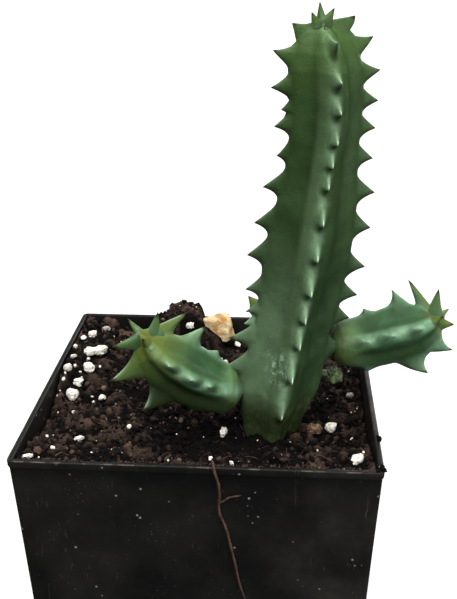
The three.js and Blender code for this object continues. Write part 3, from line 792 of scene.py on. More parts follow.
def make_stem(node, stem, material, slot, rows_per_mm, columns_per_rib, seed):
    rows, columns, distance, azimuth = stem_grid(
        stem["axis"].length, rows_per_mm, columns_per_rib)
    crest = along_line(stem["crest"], distance)
    face = FACE_DEPTH * np.abs(np.sin(azimuth * RIBS / 2)) ** FACE_CURVE * stem["groove"](distance)
    place, _, outward = round_stem(stem, distance, azimuth)
    points = place + outward * (crest * (1 - face))[:, None]
    swell = (SWELL * waves(points, 5, seed=seed, octaves=2)
             + FINE_SWELL * waves(points, 1.4, seed=seed + 5))
    points += outward * (swell * np.clip(crest / 4, 0, 1))[:, None]
    mine, teeth, share, along, across = own_teeth(stem, distance, azimuth, crest)
    points[mine], rise = drawn_teeth(stem, points[mine], teeth, share, along)

    from_rib = wrapped(azimuth, HALF_RIB) * np.maximum(crest, 2)
    in_front = np.abs(wrapped(azimuth, math.pi)) < HALF_RIB
    by_side = np.where(in_front, 1, stem["side_ridge"])
    ridge_from, ridge_to = stem["ridge"]
    rib = teeth[-1]
    # The painted highlight on the upper flank of each tooth, full on the front row
    keel = (smooth((along + 0.02) / 0.2) * smooth((1 - share) / 0.8)
            * np.exp(-((across / (0.16 + 0.3 * share)) ** 2)))
    # Painted shade in the hollow under each tooth
    under = spread(mine, smooth((-along - 0.02) / 0.4) * smooth((1 - share) / 0.6))
    fields = {
        "tip": spread(mine, rise * (rib != 0)),
        # The pale band is part waxy skin and part painted highlight, full on the rib that faces
        # forward
        "ridge": (smooth((from_rib - ridge_from + 0.6) / 1.9)
                  * (1 - smooth((from_rib - ridge_to) / 1.3)) * by_side),
        # A narrow painted highlight along the crest, left out where the painted shade under a
        # tooth lies
        "wax": np.exp(-(((from_rib + 0.4) / 0.9) ** 2)) * (1 - under) * by_side,
        "keel": spread(mine, keel * np.where(rib == 0, 1, stem["side_keel_highlight"])),
        "under": under * stem["under"](distance),
        "young": stem["young"](distance),
        "low": stem["low"](distance),
        "scuff": stem["scuff"](points),
        "bloom": stem["bloom"](distance, azimuth),
        "furrow": stem["furrow"](distance, azimuth),
        # Painted shade on the skin that faces down
        "below": stem["below"](distance) * smooth((-outward[:, 2] - 0.02) / 0.45),
    }
    for key, values in fields.items():
        values = np.broadcast_to(values, distance.shape)
        fields[key] = np.append(values, [values[0], values[-1]])
    parts = [tube(points.reshape(rows, columns, 3))]
    for tooth in (tooth for tooth in stem["teeth"] if tooth.get("young")):
        leaf, leaf_faces, leaf_rise, middle = young_tooth(stem, tooth)
        parts.append((leaf, leaf_faces))
        # A longer leaf is already green
        olive = 1 - 0.65 * smooth((tooth["reach"] - 4.2) / 0.6)
        added = {"tip": np.clip(leaf_rise, 0, 1), "wax": 0.8 * middle,
                 "young": olive * (0.25 + 0.6 * smooth(leaf_rise / 0.7))}
        for key in fields:
            fields[key] = np.append(fields[key], added.get(key, np.zeros(len(leaf))))
    make_piece(f"{node}_skin", *merged(parts), material, slot, [node], fields)


def ellipses(centre, first, second, columns):
    """Rings along a line of centres, each an ellipse with the two half axes."""
    angle = np.arange(columns) / columns * 2 * math.pi
    return (centre[:, None] + first[:, None] * np.cos(angle)[None, :, None]
            + second[:, None] * np.sin(angle)[None, :, None])


def young_tooth(stem, tooth):
    """A soft tooth that stands up along the stem beside its growing tip."""
    base_at, dip, girth = tooth_foot(stem, tooth, YOUNG_DIP)
    rise = np.linspace(LEAF_ROOT, 1, LEAF_ROWS)
    place, tangent, outward = round_stem(
        stem, base_at + (tooth["at"] - base_at) * rise, tooth["rib"] * 2 * HALF_RIB)
    across = np.cross(tangent, outward)
    spine = outward * (tooth["reach"] - dip) + tangent * (tooth["at"] - base_at)
    spine /= np.linalg.norm(spine, axis=1, keepdims=True)
    centre = place + outward * (dip + (tooth["reach"] - dip) * rise)[:, None]
    narrow = 1 - np.clip(rise, 0, 1) ** LEAF_SHOULDER
    flare = (1 - np.clip(rise / 0.5, 0, 1)) ** 2
    half_long = LEAF_POINT + tooth["foot"] * (1.1 * narrow + 0.7 * flare)
    half_wide = LEAF_POINT + TOOTH_WIDTH * girth * (0.95 * narrow + 0.25 * flare)
    rings = ellipses(centre, np.cross(spine, across) * half_long[:, None],
                     across * half_wide[:, None], LEAF_COLUMNS)
    leaf_rise = np.append(np.repeat(rise, LEAF_COLUMNS), [LEAF_ROOT, 1])
    angle = np.arange(LEAF_COLUMNS) / LEAF_COLUMNS * 2 * math.pi
    middle = np.append((narrow[:, None] * np.cos(angle) ** 4).ravel(), [0, 0])
    return *tube(rings), leaf_rise, middle


# Main stem. Heights are above the rim, and its foot is under the soil
STEM_FOOT = -13.0
MAIN_ROWS = [
    [2.2, 11.5, 18.5, 23.8, 29.5, 36.3, 42.9, 49.4, 53.2, 57.2, 62.5, 67.9, 74.6],
    [13, 20, 25, 31, 39, 46, 52.5, 58, 63, 68.5, 74.4, 78],
    [6, 13, 20.5, 26.5, 33, 39.5, 46, 52, 58, 64, 70, 75.5],
    [4.5, 9.6, 16.2, 22, 26.8, 34, 40.5, 47.5, 53.5, 59, 62, 66, 72.5, 77],
]
MAIN_REACH = [
    (2, 9.6), (10, 12.2), (17, 11.6), (24, 11.4), (30, 11.8), (38, 11.4), (46, 10.8),
    (53, 9.5), (62, 9.6), (67, 10.4), (73, 9.3), (74.4, 9.1), (77, 5.5), (78, 6),
]
# Teeth unlike their neighbours, by rib and height: how much longer, and how slim
UNEVEN_TEETH = {
    (1, 20): (-0.5, 1), (3, 16.2): (0.6, 1), (3, 22): (-1.4, 0.6), (3, 26.8): (-0.7, 0.85),
    (3, 53.5): (-0.9, 1), (3, 62): (-1.2, 0.7),
}
MAIN_LEAN = [(46, -0.5), (60, -0.4), (66, 0), (72.5, 1.1), (77, 1.6)]
MAIN_FOOT = [(15, 3.4), (22, 3), (32, 3.3), (46, 3.3), (52, 2.7), (77, 2.6)]
MAIN_YOUNG = [(76.8, 1.6), (79.3, 2.3), (80.3, 0.8), (78.7, 1.8)]


def main_stem():
    teeth = []
    for rib, heights in enumerate(MAIN_ROWS):
        for height in heights:
            longer, slim = UNEVEN_TEETH.get((rib, height), (0, 1))
            teeth.append({
                "rib": rib, "at": height - STEM_FOOT,
                "reach": float(along_line(MAIN_REACH, height)) + longer,
                "lean": float(along_line(MAIN_LEAN, height)),
                "foot": float(along_line(MAIN_FOOT, height)) * slim,
            })
    for rib, (height, reach) in enumerate(MAIN_YOUNG):
        teeth.append({"rib": rib, "at": height - STEM_FOOT, "reach": reach, "lean": 2.6,
                      "foot": 0.9, "young": True})
    crest = [
        (-13, 5.2), (-8, 5.4), (-3, 6.1), (0, 7.1), (5, 8.2), (12, 8), (17, 7.5), (24, 7.9),
        (32, 8.4), (38, 8.2), (44, 7.6), (50, 6.9), (55, 6.6), (69, 6.8), (72, 5.9), (74, 4.6),
        (75.6, 3), (76.4, 1),
    ]
    points = [
        (13.8, -11.2, STEM_FOOT), (14, -11.2, -4), (15.5, -11.2, 6), (18.5, -11.2, 22),
        (20.6, -11.2, 36), (22.3, -11.2, 50), (22.9, -11.2, 62), (22.4, -11.2, 70),
        (21.7, -11.2, 76.4),
    ]
    scuff_place = np.array([15, -18, RIM + 12])

    def scuff(p):
        far = (p - scuff_place) / (3.1, 5, 4.2)
        return smooth(1.2 - np.linalg.norm(far, axis=1))

    return {
        "axis": Axis(points, (0, -1, 0), upright=True),
        "crest": [(height - STEM_FOOT, radius) for height, radius in crest],
        "turn": lambda d: np.radians(7 + 7 * smooth((d - 60) / 14)),
        "teeth": teeth,
        "groove": lambda d: 1,
        # The pale band, part wax and part painted highlight, lies mostly to the left of each crest
        "ridge": (-4, 0.3),
        "side_ridge": 0.15,
        "side_keel_highlight": 0.5,
        "below": lambda d: 0,
        # Painted shade under the teeth, weaker near the top
        "under": lambda d: 0.7 - 0.4 * smooth((d + STEM_FOOT - 60) / 12),
        "young": lambda d: (0.15 * smooth((d + STEM_FOOT - 25) / 30)
                            + 0.4 * smooth((d + STEM_FOOT - 62) / 12)),
        "low": lambda d: 1 - smooth((d + STEM_FOOT - 0.5) / 6),
        # Waxy bloom on the lower stem, only on its left side where the light falls: in part a
        # painted highlight
        "bloom": lambda d, a: smooth((42 - d - STEM_FOOT) / 26) * smooth(-1.6 * np.sin(a)),
        "furrow": lambda d, a: 0,
        "scuff": scuff,
    }


BRANCH_TILT = math.radians(22)
BRANCH_REFERENCE = (0, -math.cos(BRANCH_TILT), math.sin(BRANCH_TILT))


def branch(points, crest, rows, turn=0.0, reference=BRANCH_REFERENCE, tip_from=0.72,
           below=0.8, low=0.3, start=0.0):
    """Teeth rows are (distance, reach, lean, half foot), and each row's last tooth is young.

    Distances are from a place that lies start after the first point.
    """
    teeth = []
    for rib, row in enumerate(rows):
        for i, (at, reach, lean, foot) in enumerate(row):
            teeth.append({"rib": rib, "at": at + start, "reach": reach, "lean": lean, "foot": foot,
                          "young": i == len(row) - 1})
    axis = Axis(points, reference)
    return {
        "axis": axis,
        "crest": [(at + start, radius) for at, radius in crest],
        "turn": lambda d: np.full(np.shape(d), turn),
        "teeth": teeth,
        "groove": lambda d: smooth((d - 0.5) / 6),
        "ridge": (-1.9, 0.6),
        "side_ridge": 0.7,
        "side_keel_highlight": 0.8,
        # Painted shade on the undersides, fading along the branch, and under the teeth
        "below": lambda d: below * (1 - 0.8 * smooth((d / axis.length - 0.55) / 0.35)),
        "under": lambda d: 0.6,
        "young": lambda d: 0.9 * smooth((d / axis.length - tip_from) / (1 - tip_from)),
        "low": lambda d: low * (1 - smooth((d - 0.8) / 4.4)),
        "scuff": lambda p: 0,
        "bloom": lambda d, a: 0.8 * (1 - smooth((d - 3) / 5)),
        "furrow": lambda d, a: (0.6 * smooth((d / axis.length - 0.87) / 0.1)
                                * np.abs(np.sin(a * RIBS / 2)) ** 4),
    }


def left_branch():
    return branch(
        [(7.8, -12.5, 4.6), (3.6, -13.6, 5.4), (-0.9, -14.7, 7.7), (-5, -16.4, 11.2),
         (-8.8, -18, 15.4), (-11.7, -19.2, 19.6)],
        [(0, 1.6), (0.9, 2.9), (1.8, 4.2), (3.3, 5.2), (6, 5.6), (12, 6.1), (17, 5.9),
         (22, 4.5), (26.3, 1)],
        [
            [(10.2, 7.7, 1.6, 3), (15.6, 8.8, 2, 3), (21, 8, 2, 2.6), (26.6, 3.4, 2.6, 1)],
            [(7.8, 7, -0.6, 2.6), (15, 9.9, -1, 3.2), (22.6, 10, -0.8, 3), (27, 5.4, 3.2, 1.2)],
            [(9.4, 7.2, 0, 2.8), (15.4, 9, 0.4, 3), (21.6, 8, 1.4, 2.4), (28, 4.6, 3.2, 1.2)],
            [(7.6, 6.2, 0, 2.6), (15.6, 11, 1.2, 3.4), (22.8, 10.6, 1.4, 2.8),
             (27.8, 5.6, 3, 1.2)],
        ],
        turn=math.radians(5), tip_from=0.5, below=1, low=0.35)


def right_branch():
    # The dark corky colour at this branch's narrow neck stands partly for painted shade where it
    # tucks in against the stem
    return branch(
        [(25.9, -8.2, 13), (26.8, -8, 13), (29.6, -7.4, 13.1), (33.6, -6.7, 13.5),
         (37.8, -6.5, 14.7), (41.5, -6.5, 15.7), (44.5, -6.5, 17), (47, -6.5, 18.8)],
        [(-0.9, 2.6), (-0.4, 3.5), (0.4, 4.3), (1.6, 4.7), (3, 4.9), (5, 5.2), (8, 5.5),
         (13, 5.9), (17, 5.3), (19.6, 3.9), (21.8, 1)],
        [
            [(5.6, 6, 1.4, 3), (12.2, 7, 2, 3.2), (18.2, 6.6, 2, 2.6), (22.8, 3.2, 2.6, 1)],
            [(5.6, 6.2, 0, 2.6), (16, 9.3, 2, 3.8), (20.2, 7.1, 1.6, 1.9), (23.3, 2.8, 2.4, 1.1)],
            [(6.4, 7.6, 0, 2.8), (12.8, 9, 0.6, 3), (18.2, 8.4, 1.4, 2.4), (23.8, 3.8, 2.8, 1.1)],
            [(6.9, 6.6, -0.4, 2.6), (13.2, 9, -1.2, 3), (20.8, 9.7, -0.4, 3), (24.6, 4.8, 3, 1.2)],
        ], tip_from=0.93, below=0.55, low=0.8, start=0.9)


def back_offset():
    return branch(
        [(14.1, -6.5, 12), (12.8, -3.4, 13), (11.4, -0.8, 15), (10.2, 0.6, 18.6)],
        [(0, 2.4), (2.5, 2.9), (5, 3), (7.2, 1.9), (9.4, 0.7)],
        [
            [(7.4, 3.9, 0, 1.8), (12.6, 1.4, 2.4, 1.1)],
            [(9.8, 2.4, 2, 0.9)],
            [(5.4, 4.4, 0, 1.8), (10, 2.2, 2, 0.9)],
            [(9.6, 2.4, 2, 0.9)],
        ],
        reference=(-1, 0, 0))


# Loose pieces

def fitted(points, node):
    """The points stretched to fill a node's box."""
    centre, half = node_box(node)
    low, high = points.min(0), points.max(0)
    return centre + (points - (low + high) / 2) / ((high - low) / 2) * half


def make_rock(name, node, material, slot, seed, level=4, blocky=0.25, rough=0.2, pitted=0.0,
              shear=0.0, turned=0.0, long=1.0, waist=0.0):
    """A stone or grain that fills its node's box. A long one lies turned in the box."""
    points, faces = sphere(level)
    shape = 1 - blocky + blocky / np.abs(points).max(1)
    lumps = waves(points + seed, 0.9, seed=seed, octaves=3, roughness=0.55)
    pits = np.abs(waves(points - seed, 0.42, seed=seed + 9, octaves=2))
    points = points * (shape * (1 + rough * lumps - pitted * pits))[:, None]
    points[:, 0] -= shear * points[:, 2]
    points[:, 1:] *= (1 - waist * np.exp(-((points[:, 0] + 0.15) / 0.35) ** 2))[:, None]
    points[:, 0] *= long
    angle = math.radians(turned)
    points[:, :2] = points[:, :2] @ np.array([[math.cos(angle), math.sin(angle)],
                                              [-math.sin(angle), math.cos(angle)]])
    make_piece(name, fitted(points, node), faces, material, slot, [node])


# The bud's scales as rings of (count, height, reach, size)
BUD_RINGS = ((5, -0.3, 0.62, 0.5), (4, 0.2, 0.5, 0.46), (3, 0.55, 0.22, 0.4))


def make_bud(material):
    """A round knot of small scales on a short neck, which shows where a branch starts."""
    ball, ball_faces = sphere(3)
    points = [ball * (0.42, 0.72, 0.72), ball * (0.6, 0.45, 0.45) - (0.65, 0, 0)]
    scale_highlight = [np.zeros(len(ball)), np.zeros(len(ball))]
    for count, height, reach, size in BUD_RINGS:
        for i in range(count):
            turned = np.array(Matrix.Rotation((i + height) * 2 * math.pi / count, 3, "Z"))
            scale = ball * (0.4 * size, size, 1.1 * size)
            scale[:, 1] *= 1 - 0.75 * np.maximum(ball[:, 2], 0) ** 1.5
            scale[:, 0] += reach + 0.3 * size * ball[:, 2] ** 2
            scale[:, 2] += height
            points.append((scale @ turned.T) * (0.6, 1, 1))
            # A painted highlight down the middle of each scale's outer face
            scale_highlight.append(np.exp(-((ball[:, 1] / 0.4) ** 2)) * smooth((ball[:, 0] - 0.2) / 0.6))
    points, faces = merged((part, ball_faces) for part in points)
    make_piece("side_bud_skin", fitted(points, "side_bud"), faces, material, "bud_skin",
               ["side_bud"], {"scale_highlight": np.concatenate(scale_highlight)})


ROOT_RADIUS = 0.34
ROOT_TAPER = ((0, 0.7), (0.05, 1), (0.8, 0.9), (1, 0.35))


def root_tube(points, radius, steps, columns, seed):
    """A thin uneven tube along a line, tapered to its end."""
    line = Line(points)
    middle = line.place(np.linspace(0, line.length, steps))
    tangent = np.gradient(middle, axis=0)
    tangent /= np.linalg.norm(tangent, axis=1, keepdims=True)
    side = np.cross(tangent, (1.0, 0.2, 0.0))
    side /= np.linalg.norm(side, axis=1, keepdims=True)
    thick = radius * (0.78 + 0.2 * waves(middle, 1.6, seed=seed, octaves=2))
    thick *= along_line(ROOT_TAPER, np.linspace(0, 1, steps))
    thick = thick[:, None]
    return tube(ellipses(middle, side * thick, np.cross(tangent, side) * thick, columns))


def make_root(material):
    off = SOIL_GAP + ROOT_RADIUS

    def on_wall(x, below, proud=0.0):
        return (x, -half_width(RIM - below) - off - proud, RIM - below)

    root = root_tube([
        (3.3, -33.4, RIM + off), (3.7, -34.6, RIM + off + 0.1),
        on_wall(4, 0.2, LIP_PROUD), on_wall(4.6, 2.6, LIP_PROUD), on_wall(4.9, 5.2),
        on_wall(4.8, 9.4), on_wall(6, 13.1), on_wall(6.9, 17.4), on_wall(7.7, 21.5),
        on_wall(8.6, 26.7), on_wall(9.6, 30.2), on_wall(10.9, 34.5),
    ], ROOT_RADIUS, 150, 12, 2)
    twig = root_tube([
        on_wall(4.9, 7.4), on_wall(5.6, 7), on_wall(6.6, 6.2), on_wall(8.9, 5.6),
    ], 0.75 * ROOT_RADIUS, 30, 10, 6)
    make_piece("stray_root_skin", *merged([root, twig]), material, "root_bark", ["stray_root"])


# Crumbs, fibres and small grains on the soil

CRUMB_COUNT = 2900
LUMP_COUNT = 130
CLUMP_LUMP_COUNT = 90
FIBRE_COUNT = 44
FIBRE_EDGE = 32.8
RIM_CRUMB_COUNT = 420
# The crumbs thin out from the rim's outer edge inwards, and lie on the rim up to its inner edge
RIM_OUTSIDE, RIM_INSIDE, LAST_CRUMB, CRUMB_FALL = -34.35, -33.7, -31, 0.75
# Crumbs at the rim's front right corner and right side, as (x, y, height over the rim, size)
CORNER_CRUMBS = ((34.7, -33.9, 0.3, 0.75), (33.8, -34.3, 0.2, 0.5), (34.6, -32.9, 0.3, 0.5),
                 (34.9, -23.6, 0.3, 0.55), (34.8, -22.4, 0.2, 0.4))
STEM_AT = np.array([14.6, -11.2])
STEM_CLEAR = 5.8


def jittered_balls(places, sizes, seed, level, flatten=0.8, rough=0.6):
    """One mesh of many lumpy balls."""
    ball, ball_faces = sphere(level)
    random = np.random.default_rng(seed)
    parts = []
    for place, size in zip(places, sizes):
        lump = ball * (1 + rough * (random.random(len(ball)) - 0.5))[:, None]
        lump = lump * (size * random.uniform(0.6, 1.35, 3)) * (1, 1, flatten)
        angle = random.uniform(0, math.pi, 3)
        turned = Matrix.Rotation(angle[0], 3, "Z") @ Matrix.Rotation(angle[1], 3, "X")
        parts.append((lump @ np.array(turned).T + place, ball_faces))
    return merged(parts)


def strewn(name, places, sizes, shade, material, seed, level, rough=0.6):
    """A piece of many crumbs, each in its own shade."""
    points, faces = jittered_balls(places, sizes, seed, level, rough=rough)
    shade = np.repeat(shade, len(points) // len(sizes))
    make_piece(name, points, faces, material, "soil", fields={"shade": shade}, flat=True)


def soil_places(random, count, edge=SOIL_EDGE):
    """Random places on the soil, clear of the stem and the larger grains."""
    x = random.uniform(-edge, edge, 2 * count)
    y = random.uniform(-edge, edge, 2 * count)
    clear = np.hypot(x - STEM_AT[0], y - STEM_AT[1]) > STEM_CLEAR
    clear &= near_rocks(x, y, 0.4) < 0.2
    return x[clear][:count], y[clear][:count]


def make_crumbs(material):
    random = np.random.default_rng(11)
    x, y = soil_places(random, CRUMB_COUNT)
    size = 0.22 + 0.62 * random.random(len(x)) ** 3.2
    # Crumbs in the painted shadow by the stem's foot are darker
    shade = random.random(len(x)) ** 2.5 * (1 - 0.7 * painted_soil_shadow(x, y))
    strewn("soil_crumbs", on_soil(x, y, 0.25 * size), size, shade, material, 12, 1)

    # Bigger lumps, many of them on the clump at the back
    x, y = soil_places(random, LUMP_COUNT)
    angle = random.uniform(0, 2 * math.pi, CLUMP_LUMP_COUNT)
    away = CLUMP_RADIUS * np.sqrt(random.random(CLUMP_LUMP_COUNT))
    x = np.concatenate([x, CLUMP_X + CLUMP_BROAD * away * np.cos(angle)])
    y = np.concatenate([y, CLUMP_Y + away * np.sin(angle)])
    inside = (np.abs(y) < 32) & (near_rocks(x, y, 0.8) < 0.2)
    x, y = x[inside], y[inside]
    size = (0.6 + 0.75 * random.random(len(x)) ** 2) * (1 - 0.4 * on_clump(x, y))
    shade = np.clip(random.random(len(x)) ** 3 + 0.35 * on_clump(x, y), 0, 0.8)
    # Lumps in the painted shadow by the stem's foot are darker
    shade *= 1 - 0.8 * painted_soil_shadow(x, y)
    strewn("soil_lumps", on_soil(x, y, -0.25 * size), size, shade, material, 13, 2, rough=0.9)


def make_rim_crumbs(material):
    """Reddish crumbs heaped against the front wall and strewn along its rim."""
    random = np.random.default_rng(51)
    x = random.uniform(-33, 33, RIM_CRUMB_COUNT)
    thick = waves(np.column_stack([x, 0 * x, 0 * x]), 7, seed=52) * 0.5 + 0.6
    y = RIM_OUTSIDE + CRUMB_FALL * np.abs(random.normal(0, 1, RIM_CRUMB_COUNT))
    kept = (random.random(RIM_CRUMB_COUNT) < np.clip(thick, 0.15, 1)) & (y < LAST_CRUMB)
    x, y = x[kept], y[kept]
    size = random.uniform(0.16, 0.42, len(x))
    on_rim = y < RIM_INSIDE
    z = RIM + np.where(on_rim, 0.12, np.maximum(soil_top(x, y), -0.9) + 0.3)
    corner = np.array(CORNER_CRUMBS)
    places = np.vstack([np.column_stack([x, y, z]), corner[:, :3] + (0, 0, RIM)])
    size = np.append(np.where(on_rim, size * 0.6, size), corner[:, 3])
    shade = np.clip(0.4 + 0.5 * random.random(len(size)), 0, 1)
    shade[-len(corner):] = 0.1
    strewn("rim_crumbs", places, size, shade, material, 53, 1)


# Two longer twigs as a seed and their points (x, y, height over the soil)
TWIGS = {
    3256: ((-26.2, -32.6, 0.4), (-25.3, -31.4, 0.6), (-24.4, -30, 0.5), (-22.8, -30.6, 0.3)),
    3438: ((21.7, -30.4, 0.3), (23, -29.9, 0.6), (24.5, -29.1, 0.6), (25.8, -29.8, 0.3)),
}


def make_fibres(material):
    """Fine peat fibres and wood slivers lying on the soil."""
    random = np.random.default_rng(21)
    fibres = []
    steps = np.linspace(-0.5, 0.5, 5)
    for i, (x, y) in enumerate(zip(*soil_places(random, FIBRE_COUNT, edge=30))):
        heading = random.uniform(0, 2 * math.pi)
        length = random.uniform(1.5, 5)
        bent = heading + random.uniform(-0.25, 0.25) * steps
        line = on_soil(x + np.cos(bent) * steps * length, y + np.sin(bent) * steps * length, 0.25)
        line[:, 2] += random.uniform(0, 0.5) * (0.5 + steps)
        line[:, :2] = np.clip(line[:, :2], -FIBRE_EDGE, FIBRE_EDGE)
        fibres.append(root_tube(line, random.uniform(0.06, 0.12), 12, 6, i))
    for seed, twig in TWIGS.items():
        x, y, over = np.array(twig).T
        fibres.append(root_tube(on_soil(x, y, over), 0.16, 30, 6, seed))
    make_piece("soil_fibres", *merged(fibres), material, "soil")


# Small grains as (x, y, radius)
WHITE_GRAINS = (
    (-31.9, 19.8, 0.6), (-32.8, 15.1, 0.47), (-32, 9.5, 0.63), (-32.8, 12.1, 0.35),
    (-28.9, 10.8, 0.52), (-31, 6.3, 0.43), (-29.9, 6.2, 0.34), (-32.5, 1, 0.45),
    (-29.3, 4.8, 0.23), (-27.6, 2.4, 0.26), (-32.4, 5.3, 1.02), (-25.8, -1.2, 0.33),
    (-25.2, -3.2, 0.37), (-32.8, -1.5, 0.26), (-32.8, -3.7, 0.28), (-28.6, -6.9, 0.54),
    (-23.6, 23.4, 0.24), (-15.7, -12.8, 0.52), (-21.6, -23.9, 0.35), (-31.8, -17.6, 0.35),
    (-30.8, -18.3, 0.24), (-20, -29.3, 0.23), (-29.7, -31.3, 0.19), (-27.5, -29, 0.45),
    (-11.3, -12, 0.21), (2.9, -30.6, 0.53), (6.9, -31.5, 0.48), (9.4, -32.6, 0.22),
    (23.1, -32.2, 0.24), (31.7, -26.4, 0.29), (31, -3.2, 0.39), (30.3, -14, 0.29),
    (30.6, -15.5, 0.26), (17.7, -18.9, 0.29), (-5, -31.5, 0.28), (32.1, -2.3, 0.22),
    (4.7, 28.6, 1), (2.5, 15.7, 0.53), (-25.8, 8.6, 0.39), (-30.9, 16, 0.35),
    (-32.5, 2.9, 0.34), (-32.3, -31.9, 0.19), (-31.9, -7.7, 0.21), (-25.2, 17.9, 0.24),
)
DULL_GRAINS = (
    (-23.8, 1.7, 0.56), (-20.1, 1.9, 0.27), (-22.7, 15.8, 0.35), (-27, 8.3, 0.34),
    (-17.2, -21.6, 0.3), (0.4, -13.5, 0.41), (14.8, -29.8, 0.38), (-5.2, -9.8, 0.53),
    (-3.3, -11.8, 0.42), (-2.8, -32.4, 0.42), (-4.4, -30.2, 0.25), (-13.1, 23.7, 0.6),
    (11.9, -28.5, 0.28), (10.1, -31, 0.37), (16.1, -29.5, 0.28), (26.6, -32.8, 0.31),
    (27.7, -32.8, 0.33), (-23.5, -7.2, 0.21), (-20.2, -3, 0.26), (-16.2, -7.3, 0.24),
    (-22, -12.8, 0.23),
)


def make_small_grains(name, listed, specks, speck_size, material, slot, random):
    """The listed grains, and fine specks between them."""
    x, y = soil_places(random, specks)
    grains = np.vstack([listed, np.column_stack([x, y, random.uniform(*speck_size, len(x))])])
    x, y, size = grains.T
    points, faces = jittered_balls(on_soil(x, y, 0.45 * size), size, 32, 2, flatten=0.9,
                                   rough=0.35)
    make_piece(name, points, faces, material, slot)


# The plant in its pot

STEM = stem_look("stem_skin", colour(36, 54, 30), colour(26, 42, 20), colour(56, 74, 50),
                 colour(52, 76, 30), colour(27, 31, 12), colour(92, 116, 90),
                 colour(72, 92, 68))
BRANCH = stem_look("branch_skin", colour(42, 70, 42), colour(30, 52, 28), colour(72, 101, 75),
                   colour(72, 84, 27), colour(56, 62, 28), colour(104, 132, 106),
                   colour(66, 92, 56))
PLASTIC = plastic_look()
SOIL = soil_look()
PERLITE = grain_look("perlite", colour(192, 188, 178), colour(138, 130, 116))
DULL = wood_look("bark_crumb", colour(96, 78, 66), colour(50, 37, 30), (1, 1, 1))
GRIT = grain_look("grit", colour(128, 122, 114), colour(72, 62, 56), pit=0.9)
BARK = wood_look("bark", colour(116, 90, 64), colour(48, 33, 22), (1, 0.3, 1))
ROOT = wood_look("root_bark", colour(68, 45, 31), colour(34, 22, 15))
FIBRE = wood_look("peat_fibre", colour(62, 42, 32), colour(28, 18, 13))

make_pot(PLASTIC)
make_soil(SOIL)
make_crumbs(SOIL)
make_rim_crumbs(SOIL)
make_fibres(FIBRE)
GRAIN_DRAWS = np.random.default_rng(31)
make_small_grains("perlite_crumbs", WHITE_GRAINS, 90, (0.1, 0.2), PERLITE, "perlite", GRAIN_DRAWS)
make_small_grains("bark_crumbs", DULL_GRAINS, 60, (0.15, 0.35), DULL, "bark", GRAIN_DRAWS)
make_stem("main_stem", main_stem(), STEM, "stem_skin", 3.6, 44, 1)
make_stem("left_branch", left_branch(), BRANCH, "branch_skin", 5, 40, 2)
make_stem("right_branch", right_branch(), BRANCH, "branch_skin", 5, 40, 3)
make_stem("back_offset", back_offset(), BRANCH, "branch_skin", 7, 28, 4)
make_bud(bud_look())
make_root(ROOT)
make_rock("tan_stone_rock", "tan_stone", stone_look(), "tan_stone", 5, level=5, blocky=0.55,
          shear=0.15)
make_rock("bark_chip_flake", "bark_chip", BARK, "bark", 9, blocky=0, rough=0.42, pitted=0.3)
# The longer grains as their number: the angle they lie at, their length over their width,
# and how drawn in they are at the middle
LONG_GRAINS = {1: (12, 1.8, 0.4), 7: (40, 1.6, 0), 8: (80, 1.7, 0.3), 10: (55, 1.9, -0.2),
               11: (15, 1.5, 0.2)}
for number in range(1, 13):
    angle, long, waist = LONG_GRAINS.get(number, (0, 1, 0))
    make_rock(f"perlite_{number}_grain", f"perlite_{number}", PERLITE, "perlite", 20 + number,
              blocky=0.1, rough=0.3, pitted=0.2, turned=angle, long=long, waist=waist)
for number in (1, 2):
    make_rock(f"grit_{number}_grain", f"grit_{number}", GRIT, "grit", 50 + number)


# Floor, light and camera, in metres

FLOOR_SIZE = 6.0
FLOOR_GLOW = 0.62


def make_floor():
    bpy.ops.mesh.primitive_plane_add(size=FLOOR_SIZE)
    floor = bpy.context.object
    floor.name = "floor"
    look = Look("floor_paint", colour(246, 246, 245), 0.9, 0.2)
    look.coat(colour(250, 250, 250), look.noise(180))
    floor.data.materials.append(look.finish({
        "Emission Color": (1, 1, 1, 1),
        "Emission Strength": FLOOR_GLOW,
    }))
    floor.visible_diffuse = False
    floor.visible_glossy = False


# The lamps light the plant and its pot, and the floor is lit by the pale room
LIT = bpy.data.collections.new("lit_by_lamps")
for part in bpy.context.scene.objects:
    if part.type == "MESH" and part.name != "floor":
        LIT.objects.link(part)


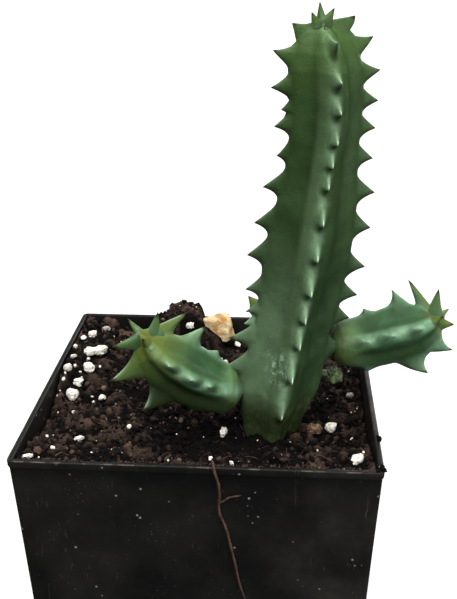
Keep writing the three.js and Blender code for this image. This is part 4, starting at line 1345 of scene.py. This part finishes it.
def add_light(name, place, target, size, power, tint=(1, 1, 1)):
    light = bpy.data.lights.new(name, "AREA")
    light.size = size
    light.energy = power
    light.color = tint
    lamp = bpy.data.objects.new(name, light)
    lamp.location = place
    lamp.rotation_euler = (Vector(target) - Vector(place)).to_track_quat("-Z", "Y").to_euler()
    bpy.context.scene.collection.objects.link(lamp)
    lamp.light_linking.receiver_collection = LIT


make_floor()
PLANT = (0.01, -0.005, 0.1)
add_light("key", (-0.1, -0.45, 0.62), PLANT, 0.35, 6.0, (1, 0.99, 0.97))
add_light("fill", (0.5, -0.35, 0.22), PLANT, 0.45, 4.0, (0.97, 0.98, 1))
add_light("top", (-0.05, 0.05, 0.75), PLANT, 0.5, 6.0)
add_light("back", (0.2, 0.6, 0.25), PLANT, 0.5, 2.5)

world = bpy.data.worlds.new("studio")
world.use_nodes = True
room = world.node_tree
# The room is bright overhead and dim below
direction = add_node(room, "ShaderNodeTexCoord").outputs["Generated"]
height = add_node(room, "ShaderNodeSeparateXYZ", {0: direction}).outputs["Z"]
bright = add_node(room, "ShaderNodeMapRange", {
    "Value": height, "From Min": -0.2, "From Max": 0.8, "To Min": 0.15, "To Max": 0.85,
}).outputs[0]
set_inputs(room, room.nodes["Background"], {"Color": (1, 1, 1, 1), "Strength": bright})
bpy.context.scene.world = world
bpy.context.scene.view_settings.view_transform = "Standard"

CAMERA_PLACE = (0.0166, -0.1802, 0.1653)
PITCH = math.radians(22.36)
YAW = math.radians(-3.9)
ROLL = math.radians(-0.25)
FOCAL_PIXELS = 930.7
FRAME_HEIGHT = 599
SENSOR = 36.0

camera_data = bpy.data.cameras.new("camera")
camera_data.sensor_width = SENSOR
camera_data.sensor_fit = "AUTO"
camera_data.lens = FOCAL_PIXELS / FRAME_HEIGHT * SENSOR
camera_data.clip_start = 0.01
camera_data.clip_end = 20
camera = bpy.data.objects.new("camera", camera_data)
camera.matrix_world = (
    Matrix.Translation(CAMERA_PLACE) @ Matrix.Rotation(-YAW, 4, "Z")
    @ Matrix.Rotation(math.pi / 2 - PITCH, 4, "X") @ Matrix.Rotation(ROLL, 4, "Z"))
bpy.context.scene.collection.objects.link(camera)
bpy.context.scene.camera = camera
